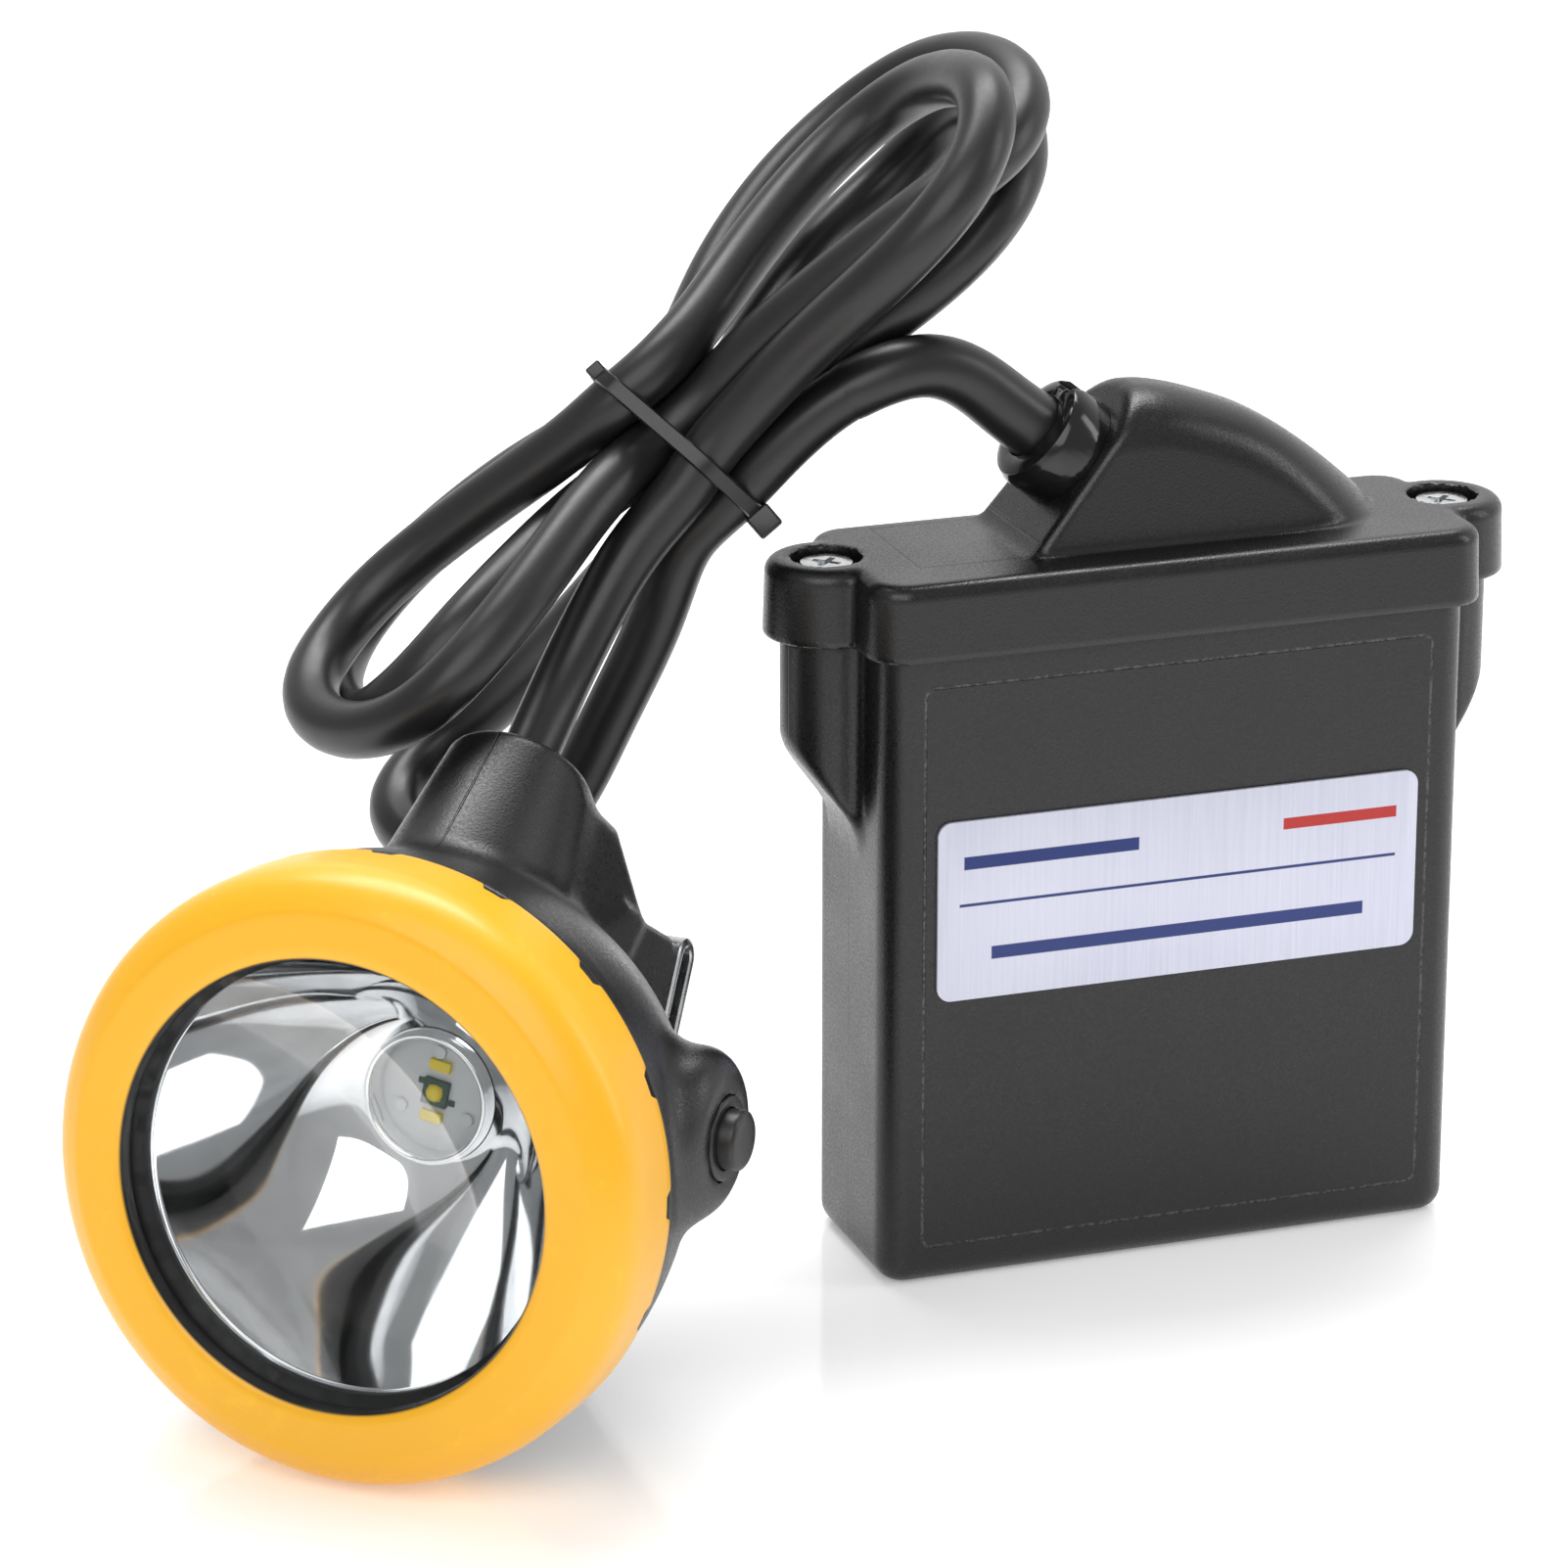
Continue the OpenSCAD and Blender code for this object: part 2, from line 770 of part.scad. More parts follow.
module helmet_clip() {
  color(steel)
    in_clip()
      difference() {
        union() {
          translate([-clip_w / 2, -fold_r, -base_l]) cube([clip_w, clip_t, base_l]);
          rotate([0, 90, 0])
            difference() {
              cylinder(r = fold_r, h = clip_w, center = true);
              cylinder(r = fold_r - clip_t, h = clip_w + 1, center = true);
              translate([0, -fold_r - 1, -clip_w]) cube([fold_r + 1, 2 * fold_r + 2, 2 * clip_w]);
            }
        }
        for (z = [-9, -24])
          translate([0, 0, z]) rotate([90, 0, 0]) cylinder(r = clip_screw_r, h = fold_r + 1);
      }
}

module clip_leaf() {
  tip_w = 20;
  color(steel)
    in_clip()
      translate([0, fold_r, 0])
        rotate([90, 0, 0])
          linear_extrude(clip_t) {
            polygon([
              [-clip_w / 2, -leaf_start], [clip_w / 2, -leaf_start], [clip_w / 2, -22],
              [tip_w / 2, -leaf_l + 5], [tip_w / 2 - 4, -leaf_l], [4 - tip_w / 2, -leaf_l],
              [-tip_w / 2, -leaf_l + 5], [-clip_w / 2, -22],
            ]);
          }
}

module clip_screws() {
  color(steel)
    in_clip()
      for (z = [-9, -24])
        translate([0, -fold_r + clip_t, z]) {
          rotate([-90, 0, 0]) cylinder(r = clip_head_r, h = clip_head_h);
          rotate([90, 0, 0]) cylinder(r = clip_screw_r - hair / 2, h = clip_t + 7);
        }
}

// ---- Cable ----

module cord_gland_lead() {
  color(cable_grey) in_hank() tube(gland_route, cable_d / 2, cable_d / 2);
}

module cord_low_loop() {
  color(cable_grey) in_hank() tube(loop_route, cable_d / 2, cable_d / 2);
}

module cord_head_lead() {
  color(cable_grey) in_hank() tube(head_route, cable_d / 2, cable_d / 2);
}

// A flat shape with round ends, from one end of the bundle to the other
module lobe(s_low, s_high, t_low, t_high) {
  r = (t_high - t_low) / 2;
  t = (t_high + t_low) / 2;
  translate([s_low + r, t]) circle(r);
  translate([s_high - r, t]) circle(r);
  translate([s_low + r, t_low]) square([s_high - s_low - 2 * r, 2 * r]);
}

module cord_hank() {
  color(cable_grey)
    in_hank()
      translate([0, 0, -hank_back])
        linear_extrude(hank_back + hank_front) {
          lobe(-12, 66, -24.5, 10.5);
          lobe(-65.5, 12, -18, 8.5);
        }
}

module cable_tie() {
  color("#1b1b1c")
    in_hank() {
      rotate([0, 90, 0])
        translate([1, -0.2, -tie_w / 2])
          rounded_frame(tie_deep + 2 * tie_t, tie_across + 2 * tie_t, 6, tie_t, tie_w);
      translate([-tie_head / 2, tie_across / 2 - 1, -tie_head / 2 + 4]) cube([tie_head, 4.6, tie_head]);
    }
}

battery_case();
battery_lid();
lid_gasket();
lid_screws();
thread_inserts();
battery_cells();
cell_holders();
nickel_strips();
protection_board();
gland_nut();
gland_seal();
gland_pin();
strain_relief();
nameplate();
lamp_housing();
bezel_ring();
lens();
lens_gasket();
reflector();
led_ring();
led_board();
main_led();
aux_leds();
board_screws();
heat_sink();
heat_sink_screws();
driver_board();
switch_button();
button_spring();
button_collar();
tact_switch();
helmet_clip();
clip_leaf();
clip_screws();
neck_grommet();
cord_gland_lead();
cord_hank();
cord_low_loop();
cord_head_lead();
cable_tie();
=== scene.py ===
"""Miner's cap lamp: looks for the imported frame. Shapes are worked in millimetres and placed in metres."""
import math
from itertools import product

import bpy
import numpy as np
from mathutils import Matrix, Vector


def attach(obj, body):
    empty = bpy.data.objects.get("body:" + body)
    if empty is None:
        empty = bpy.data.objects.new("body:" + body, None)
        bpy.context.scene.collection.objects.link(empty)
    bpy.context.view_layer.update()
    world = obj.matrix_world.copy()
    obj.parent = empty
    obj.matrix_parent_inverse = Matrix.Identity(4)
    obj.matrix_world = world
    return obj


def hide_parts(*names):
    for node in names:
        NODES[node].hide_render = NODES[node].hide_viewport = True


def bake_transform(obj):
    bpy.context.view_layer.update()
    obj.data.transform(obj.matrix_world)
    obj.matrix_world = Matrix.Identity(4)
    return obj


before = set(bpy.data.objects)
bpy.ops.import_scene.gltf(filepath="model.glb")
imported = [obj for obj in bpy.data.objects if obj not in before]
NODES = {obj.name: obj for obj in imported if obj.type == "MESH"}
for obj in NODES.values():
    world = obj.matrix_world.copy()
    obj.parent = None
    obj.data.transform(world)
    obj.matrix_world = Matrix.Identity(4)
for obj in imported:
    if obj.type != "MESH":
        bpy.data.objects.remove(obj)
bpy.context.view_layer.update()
MM = 0.001

# ---- Frames ----


def turn(axis, degrees):
    return Matrix.Rotation(math.radians(degrees), 4, axis)


def at(x, y, z):
    return Matrix.Translation((x, y, z))


ROW = Matrix.Identity(4)
HEAD = at(-128.75, -52.76, 41.105) @ turn("Z", -42) @ turn("X", -5)
NECK_IN_HEAD = at(0, 54.6, 41) @ turn("X", -50)
SWITCH_Y, SWITCH_Z = 30.3, 4.4
SWITCH = HEAD @ at(0, SWITCH_Y, SWITCH_Z) @ turn("Y", 90)
CLIP = HEAD @ at(0, 76.1, 12.65) @ turn("X", -28)
GLAND = at(-10.4, 0, 110.4) @ turn("Y", -51)

# ---- Driving sizes in millimetres ----

CASE_W, CASE_D, CASE_Y, CASE_H, WALL = 83.6, 28.6, -1.7, 89.0, 2.4
LID_W, LID_D, LID_Y, LID_TOP = 87.1, 30.9, -2.5, 99.4
EAR_X, CASE_EAR_R, LID_EAR_R = 44.6, 6.2, 8.2
BEZEL_R = 40.0
BOSS_R, BOSS_X, WELL_R = 10.8, 40.5, 5.5
LUG_HALF, NECK_R, NECK_SPREAD = 14.8, 9.8, 3.4 / 26
POST_AT, POST_R = 20, 3


def head_axis(axis):
    """A direction of the headpiece, turned into the shared frame."""
    return tuple(HEAD.to_3x3() @ Vector(axis))


# ---- Camera ----

AZIMUTH, ELEVATION = math.radians(-19.3), math.radians(18.9)
CAMERA_RIGHT, CAMERA_UP, CAMERA_BACK = -47.7, 59.1, 886.3
back = Vector((math.sin(AZIMUTH) * math.cos(ELEVATION), -math.cos(AZIMUTH) * math.cos(ELEVATION),
               math.sin(ELEVATION)))
right = Vector((math.cos(AZIMUTH), math.sin(AZIMUTH), 0))
up = back.cross(right)
camera_data = bpy.data.cameras.new("camera")
camera_data.lens = 146
camera_data.sensor_width = 36
camera = bpy.data.objects.new("camera", camera_data)
camera.matrix_world = Matrix((
    (right.x, up.x, back.x, 0), (right.y, up.y, back.y, 0), (right.z, up.z, back.z, 0), (0, 0, 0, 1)))
camera.matrix_world.translation = MM * (right * CAMERA_RIGHT + up * CAMERA_UP + back * CAMERA_BACK)
bpy.context.collection.objects.link(camera)
bpy.context.scene.camera = camera

# ---- Materials ----


class Nodes:
    """A small builder for one material's node tree."""

    def __init__(self, name):
        self.material = bpy.data.materials.new(name)
        self.material.use_nodes = True
        self.tree = self.material.node_tree
        self.tree.nodes.clear()
        self.out = self.add("ShaderNodeOutputMaterial")
        self.where = self.add("ShaderNodeTexCoord").outputs["Object"]

    def add(self, kind, **settings):
        node = self.tree.nodes.new(kind)
        for key, value in settings.items():
            setattr(node, key, value)
        return node

    def put(self, socket, value):
        if isinstance(value, bpy.types.NodeSocket):
            self.tree.links.new(value, socket)
        else:
            if isinstance(value, (tuple, list)) and len(value) == 3 and socket.type == "RGBA":
                value = (*value, 1)
            socket.default_value = value

    def math(self, operation, *values):
        node = self.add("ShaderNodeMath", operation=operation)
        for socket, value in zip(node.inputs, values):
            self.put(socket, value)
        return node.outputs[0]

    def vector(self, operation, *values):
        node = self.add("ShaderNodeVectorMath", operation=operation)
        for socket, value in zip(node.inputs, values):
            self.put(socket, value)
        return node.outputs["Value" if operation in ("LENGTH", "DOT_PRODUCT") else "Vector"]

    def place(self):
        """The three coordinates of the point."""
        split = self.add("ShaderNodeSeparateXYZ")
        self.put(split.inputs[0], self.where)
        return split.outputs

    def away(self, value, centre, half=0.0):
        """Distance from a centre, or past half a width on either side of it, both given in millimetres."""
        reach = self.math("ABSOLUTE", self.math("SUBTRACT", value, centre * MM))
        return self.math("SUBTRACT", reach, half * MM) if half else reach

    def noise(self, size, detail=2.0, rough=0.5, where=None, distortion=0.0):
        """Noise with features of about this size in millimetres."""
        node = self.add("ShaderNodeTexNoise")
        self.put(node.inputs["Vector"], self.where if where is None else where)
        self.put(node.inputs["Scale"], 1000 / size)
        self.put(node.inputs["Detail"], detail)
        self.put(node.inputs["Roughness"], rough)
        self.put(node.inputs["Distortion"], distortion)
        return node.outputs["Fac"]

    def span(self, value, low, high, to_low=0.0, to_high=1.0, smooth=False):
        node = self.add("ShaderNodeMapRange", interpolation_type="SMOOTHSTEP" if smooth else "LINEAR")
        for socket, v in zip(node.inputs, (value, low, high, to_low, to_high)):
            self.put(socket, v)
        return node.outputs["Result"]

    def mix(self, factor, a, b):
        node = self.add("ShaderNodeMix", data_type="RGBA")
        self.put(node.inputs["Factor"], factor)
        self.put(node.inputs[6], a)
        self.put(node.inputs[7], b)
        return node.outputs[2]

    def bump(self, height, depth, before=None):
        """Bump of this depth in millimetres."""
        node = self.add("ShaderNodeBump")
        self.put(node.inputs["Height"], height)
        self.put(node.inputs["Distance"], depth * MM)
        self.put(node.inputs["Strength"], 1.0)
        if before is not None:
            self.put(node.inputs["Normal"], before)
        return node.outputs["Normal"]

    def groove(self, line, depth, before):
        return self.bump(self.math("MULTIPLY", line, -1.0), depth, before)

    def hairline(self, distance, core, edge):
        """One near the line and nothing past its edge, sizes in millimetres."""
        return self.span(distance, core * MM, edge * MM, 1.0, 0.0, smooth=True)

    def surface(self, **sockets):
        shader = self.add("ShaderNodeBsdfPrincipled")
        for key, value in sockets.items():
            self.put(shader.inputs[key.replace("_", " ")], value)
        self.tree.links.new(shader.outputs[0], self.out.inputs["Surface"])
        return self.material


def scaled(colour, share):
    return tuple(min(1.0, c * share) for c in colour)


def moulded(name, colour, rough, grain=0.3, depth=0.012, vary=0.18, speckle=0.1, coat=0.0, extra=None):
    """Moulded plastic or rubber: fine grain, sparkling grain tops, faint cloudy colour and polish changes."""
    n = Nodes(name)
    fine = n.noise(grain, 3, 0.6)
    cloud = n.noise(14, 3, 0.55)
    scuff = n.span(n.noise(5, 5, 0.7, distortion=0.6), 0.60, 0.78)
    tone = n.mix(cloud, scaled(colour, 1 - vary), scaled(colour, 1 + vary))
    tone = n.mix(n.math("MULTIPLY", scuff, 0.25), tone, scaled(colour, 1.7))
    polish = n.math("ADD", n.span(cloud, 0.3, 0.7, rough - 0.04, rough + 0.04),
                    n.span(fine, 0.35, 0.65, speckle * 0.5, -speckle * 0.5))
    normal = n.bump(fine, depth)
    if extra:
        tone, normal = extra(n, tone, normal)
    return n.surface(Base_Color=tone, Roughness=polish, Normal=normal, Coat_Weight=coat, Coat_Roughness=0.15)


CHARCOAL = (0.0062, 0.0062, 0.0065)
SHADE = (0.002, 0.002, 0.002)


def panel_line(n, tone, normal):
    """Hairlines of the case: a panel on the front and rear faces, and the parting line on the sides."""
    panel_half_w, panel_half_h, panel_z, corner_r = 36.4, 39.6, 45.2, 1.5
    face_y, side_x = CASE_D / 2 - 0.4, CASE_W / 2 - 0.4
    x, y, z = n.place()
    across = n.away(x, 0, panel_half_w - corner_r)
    along = n.away(z, panel_z, panel_half_h - corner_r)
    aside, ahead = n.away(x, 0), n.away(y, CASE_Y)
    corner = n.math("SQRT", n.math("ADD", n.math("POWER", n.math("MAXIMUM", across, 0.0), 2.0),
                                   n.math("POWER", n.math("MAXIMUM", along, 0.0), 2.0)))
    inner = n.math("MINIMUM", n.math("MAXIMUM", across, along), 0.0)
    edge = n.away(n.math("ADD", corner, inner), corner_r)
    panel = n.math("MULTIPLY", n.hairline(edge, 0.10, 0.28), n.span(ahead, face_y * MM, (face_y + 0.3) * MM))
    parting = n.math("MULTIPLY", n.hairline(ahead, 0.06, 0.16),
                     n.span(aside, side_x * MM, (side_x + 0.3) * MM))
    worn = n.span(n.noise(0.6, 2, 0.6), 0.42, 0.60)
    line = n.math("MAXIMUM", n.math("MULTIPLY", panel, worn), n.math("MULTIPLY", parting, 0.5))
    groove = n.math("MAXIMUM", panel, parting)
    return n.mix(n.math("MULTIPLY", line, 0.5), tone, (0.12, 0.12, 0.12)), n.groove(groove, 0.10, normal)


case_plastic = moulded("case_plastic", CHARCOAL, 0.34, grain=0.36, depth=0.040, speckle=0.2, extra=panel_line)


def lid_mark(n, tone, normal):
    """Hairline of the ejector plate on the lid's top."""
    plate_x, plate_half_w, plate_half_d = -26.5, 8.5, 9.5
    x, y, z = n.place()
    edge = n.math("ABSOLUTE", n.math("MAXIMUM", n.away(x, plate_x, plate_half_w), n.away(y, 0, plate_half_d)))
    on_top = n.span(z, (LID_TOP - 0.3) * MM, (LID_TOP - 0.1) * MM)
    line = n.math("MULTIPLY", n.hairline(edge, 0.06, 0.2), on_top)
    return n.mix(line, tone, SHADE), n.groove(line, 0.08, normal)


lid_plastic = moulded("lid_plastic", CHARCOAL, 0.30, grain=0.36, depth=0.036, speckle=0.2, extra=lid_mark)


def mould_seam(n, tone, normal):
    """Parting line of the headpiece's mould, down the middle of the neck and the bowl."""
    from_head = n.vector("SUBTRACT", n.where, tuple(HEAD.translation * MM))
    aside = n.vector("DOT_PRODUCT", from_head, head_axis((1, 0, 0)))
    line = n.hairline(n.math("ABSOLUTE", aside), 0.05, 0.2)
    return n.mix(line, tone, SHADE), n.groove(line, 0.12, normal)


head_plastic = moulded("head_plastic", CHARCOAL, 0.36, grain=0.36, depth=0.040, speckle=0.2, extra=mould_seam)
gloss_plastic = moulded("gloss_plastic", (0.008, 0.008, 0.009), 0.12, grain=1.4, depth=0.006, speckle=0.03)
seal_rubber = moulded("seal_rubber", (0.014, 0.014, 0.015), 0.55, grain=0.5, depth=0.01)
button_rubber = moulded("button_rubber", (0.010, 0.010, 0.011), 0.38, grain=0.4, depth=0.01)
cable_rubber = moulded("cable_rubber", (0.0105, 0.0105, 0.011), 0.36, grain=0.7, depth=0.006, vary=0.12,
                       speckle=0.05)
tie_nylon = moulded("tie_nylon", (0.008, 0.008, 0.0085), 0.30, grain=0.9, depth=0.006, speckle=0.04)


def painted_shade_inside(n, tone, normal):
    """Painted shade on the wall of the bezel's opening and on its seat behind the lens: near black mixed into
    the golden plastic.
    """
    wall_r, mouth_y = 34.9, 0.3
    from_head = n.vector("SUBTRACT", n.where, tuple(HEAD.translation * MM))
    station = n.vector("DOT_PRODUCT", from_head, head_axis((0, 1, 0)))
    reach = n.vector("LENGTH", from_head)
    radius = n.math("SQRT", n.math("SUBTRACT", n.math("MULTIPLY", reach, reach),
                                   n.math("MULTIPLY", station, station)))
    inside = n.math("MULTIPLY", n.span(radius, wall_r * MM, (wall_r + 0.4) * MM, 1.0, 0.0),
                    n.span(station, mouth_y * MM, (mouth_y + 0.2) * MM))
    # painted shade: the golden plastic is turned near black on the opening's wall and the seat
    return n.mix(inside, tone, (0.004, 0.004, 0.004)), normal


golden_plastic = moulded("golden_plastic", (0.87, 0.435, 0.010), 0.36, grain=0.5, depth=0.010, vary=0.03,
                         speckle=0.06, coat=0.06, extra=painted_shade_inside)
inner_plastic = moulded("inner_plastic", (0.013, 0.013, 0.014), 0.5)


def metal(name, colour, rough, grain=1.2, stretch=(1, 1, 1), depth=0.004):
    """Metal with drawn or polished streaks."""
    n = Nodes(name)
    streak = n.noise(grain, 4, 0.6, n.vector("MULTIPLY", n.where, stretch))
    cloud = n.noise(9, 2, 0.5)
    return n.surface(
        Base_Color=n.mix(n.span(cloud, 0.3, 0.7), scaled(colour, 0.86), colour),
        Roughness=n.span(streak, 0.3, 0.7, rough * 0.75, rough * 1.3),
        Metallic=1.0, Normal=n.bump(streak, depth))


chrome = metal("chrome", (0.90, 0.91, 0.92), 0.05, grain=6, depth=0.0012)
sheet_steel = metal("sheet_steel", (0.56, 0.57, 0.58), 0.27, grain=1.6, stretch=(1, 1, 0.2), depth=0.002)
screw_steel = metal("screw_steel", (0.62, 0.63, 0.64), 0.22, grain=0.8)
nickel = metal("nickel", (0.60, 0.57, 0.52), 0.25)
brass = metal("brass", (0.62, 0.45, 0.16), 0.28)
aluminium = metal("aluminium", (0.70, 0.71, 0.72), 0.35, grain=0.7)
green_board = moulded("green_board", (0.015, 0.10, 0.04), 0.35, grain=1.0)
cell_wrap = moulded("cell_wrap", (0.04, 0.13, 0.33), 0.3, grain=2.0, depth=0.003)
white_board = moulded("white_board", (0.62, 0.64, 0.65), 0.34, grain=0.6, depth=0.003, vary=0.06,
                      speckle=0.06)
phosphor = moulded("phosphor", (0.80, 0.62, 0.05), 0.35, grain=0.3, depth=0.004, vary=0.08)
led_base = moulded("led_base", (0.03, 0.07, 0.045), 0.3, grain=0.4, depth=0.004)


def clear_lens_material():
    n = Nodes("clear_lens")
    haze = n.span(n.noise(3, 4, 0.6), 0.4, 0.8, 0.004, 0.03)
    clear = n.add("ShaderNodeBsdfTransparent")
    n.put(clear.inputs["Color"], (0.965, 0.97, 0.972))
    gloss = n.add("ShaderNodeBsdfGlossy")
    n.put(gloss.inputs["Roughness"], haze)
    fresnel = n.add("ShaderNodeFresnel")
    n.put(fresnel.inputs["IOR"], 1.45)
    mix = n.add("ShaderNodeMixShader")
    n.put(mix.inputs[0], n.math("MULTIPLY", fresnel.outputs[0], 0.22))
    n.tree.links.new(clear.outputs[0], mix.inputs[1])
    n.tree.links.new(gloss.outputs[0], mix.inputs[2])
    n.tree.links.new(mix.outputs[0], n.out.inputs["Surface"])
    return n.material


clear_lens = clear_lens_material()


def nameplate_material():
    """Brushed silver plate with a rule and plain bars where print would stand."""
    n = Nodes("nameplate")
    x, _, z = n.place()

    def bar(left, right_end, low, high):
        wide = n.away(x, (left + right_end) / 2, (right_end - left) / 2)
        tall = n.away(z, (low + high) / 2, (high - low) / 2)
        return n.span(n.math("MAXIMUM", wide, tall), -0.03 * MM, 0.05 * MM, 1.0, 0.0)

    brushed = n.noise(0.5, 4, 0.7, n.vector("MULTIPLY", n.where, (1, 1, 0.02)))
    sheen = n.noise(30, 1, 0.5)
    tone = n.mix(n.span(brushed, 0.3, 0.7), (0.52, 0.53, 0.64), (0.62, 0.63, 0.74))
    tone = n.mix(n.span(sheen, 0.35, 0.65, 0.0, 0.35), tone, (0.70, 0.71, 0.80))
    navy, red = (0.018, 0.035, 0.16), (0.45, 0.035, 0.03)
    for ink, box in ((navy, (-31.6, 31.6, 54.0, 54.4)), (navy, (-27, 27, 46.2, 48.0)),
                     (red, (15, 31.6, 59.6, 61.2)), (navy, (-31, -6, 59.2, 61.0))):
        tone = n.mix(bar(*box), tone, ink)
    return n.surface(Base_Color=tone, Roughness=n.span(brushed, 0.3, 0.7, 0.30, 0.46), Metallic=0.25,
                     Normal=n.bump(brushed, 0.004))


nameplate_finish = nameplate_material()

# ---- Mesh helpers ----


def add_piece(name, points, faces, material, body="lamp", slot=None, place=ROW, replaces=(), sharp=40):
    """A mesh piece from points in millimetres of the given frame, riding on a body unless body is None."""
    mesh = bpy.data.meshes.new(name)
    points = np.asarray(points, float)
    turned = points @ np.array(place.to_3x3()).T + np.array(place.translation)
    mesh.from_pydata((turned * MM).tolist(), [], [tuple(int(i) for i in f) for f in faces])
    mesh.validate()
    mesh.shade_smooth()
    mesh.set_sharp_from_angle(angle=math.radians(sharp))
    mesh.materials.append(material)
    piece = bpy.data.objects.new(name, mesh)
    bpy.context.collection.objects.link(piece)
    if body:
        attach(piece, body)
    if replaces:
        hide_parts(*replaces)
    return piece


def lathe(profile, segments=192, axis="Z", wave=None):
    """A closed profile [radius, height] turned about an axis; wave may move each of its points."""
    points, faces = [], []
    count = len(profile)
    for i in range(segments):
        angle = 2 * math.pi * i / segments
        for r, h in profile:
            if wave:
                r, h = wave(r, h, angle)
            c, s = r * math.cos(angle), r * math.sin(angle)
            points.append((c, s, h) if axis == "Z" else (c, h, s))
    for i in range(segments):
        j = (i + 1) % segments
        for k in range(count):
            m = (k + 1) % count
            quad = (i * count + k, j * count + k, j * count + m, i * count + m)
            faces.append(quad if axis == "Z" else quad[::-1])
    return points, faces


def curve_through(points, count):
    """A smooth curve through 2D or 3D points, by centripetal Catmull-Rom pieces, evenly spaced."""
    p = np.asarray(points, float)
    p = np.vstack([2 * p[0] - p[1], p, 2 * p[-1] - p[-2]])
    out = []
    for i in range(1, len(p) - 2):
        a, b, c, d = p[i - 1:i + 3]
        t0 = 0.0
        t1 = t0 + np.linalg.norm(b - a) ** 0.5
        t2 = t1 + np.linalg.norm(c - b) ** 0.5
        t3 = t2 + np.linalg.norm(d - c) ** 0.5
        for t in np.linspace(t1, t2, 24, endpoint=False):
            ab = a * (t1 - t) / (t1 - t0) + b * (t - t0) / (t1 - t0)
            bc = b * (t2 - t) / (t2 - t1) + c * (t - t1) / (t2 - t1)
            cd = c * (t3 - t) / (t3 - t2) + d * (t - t2) / (t3 - t2)
            abc = ab * (t2 - t) / (t2 - t0) + bc * (t - t0) / (t2 - t0)
            bcd = bc * (t3 - t) / (t3 - t1) + cd * (t - t1) / (t3 - t1)
            out.append(abc * (t2 - t) / (t2 - t1) + bcd * (t - t1) / (t2 - t1))
    out.append(p[-2])
    return evenly(np.array(out), count)


def evenly(path, count):
    """The same path with its points evenly spaced."""
    steps = np.linalg.norm(np.diff(path, axis=0), axis=1)
    along = np.concatenate([[0], np.cumsum(steps)])
    want = np.linspace(0, along[-1], count)
    return np.stack([np.interp(want, along, path[:, k]) for k in range(path.shape[1])], 1)


def length_of(path):
    return float(np.linalg.norm(np.diff(path, axis=0), axis=1).sum())


def sweep(path, radii, sides):
    """A round tube with flat ends along a path, radii one per point."""
    path = np.asarray(path, float)
    ahead = np.gradient(path, axis=0)
    ahead /= np.linalg.norm(ahead, axis=1, keepdims=True)
    side = np.cross(ahead[0], (0.1, 0.9, 0.3))
    rings = []
    for i in range(len(path)):
        side = side - ahead[i] * side.dot(ahead[i])
        side /= np.linalg.norm(side)
        over = np.cross(ahead[i], side)
        for k in range(sides):
            angle = 2 * math.pi * k / sides
            rings.append(path[i] + radii[i] * (math.cos(angle) * side + math.sin(angle) * over))
    return rings, skin(len(path), sides)


def skin(count, sides):
    """Quads between equal rings one after another, with a face over each end."""
    faces = [(i * sides + k, i * sides + (k + 1) % sides, (i + 1) * sides + (k + 1) % sides,
              (i + 1) * sides + k) for i in range(count - 1) for k in range(sides)]
    return faces + [tuple(range(sides))[::-1], tuple((count - 1) * sides + k for k in range(sides))]


# ---- Solid shapes as distance fields, meshed by surface nets ----


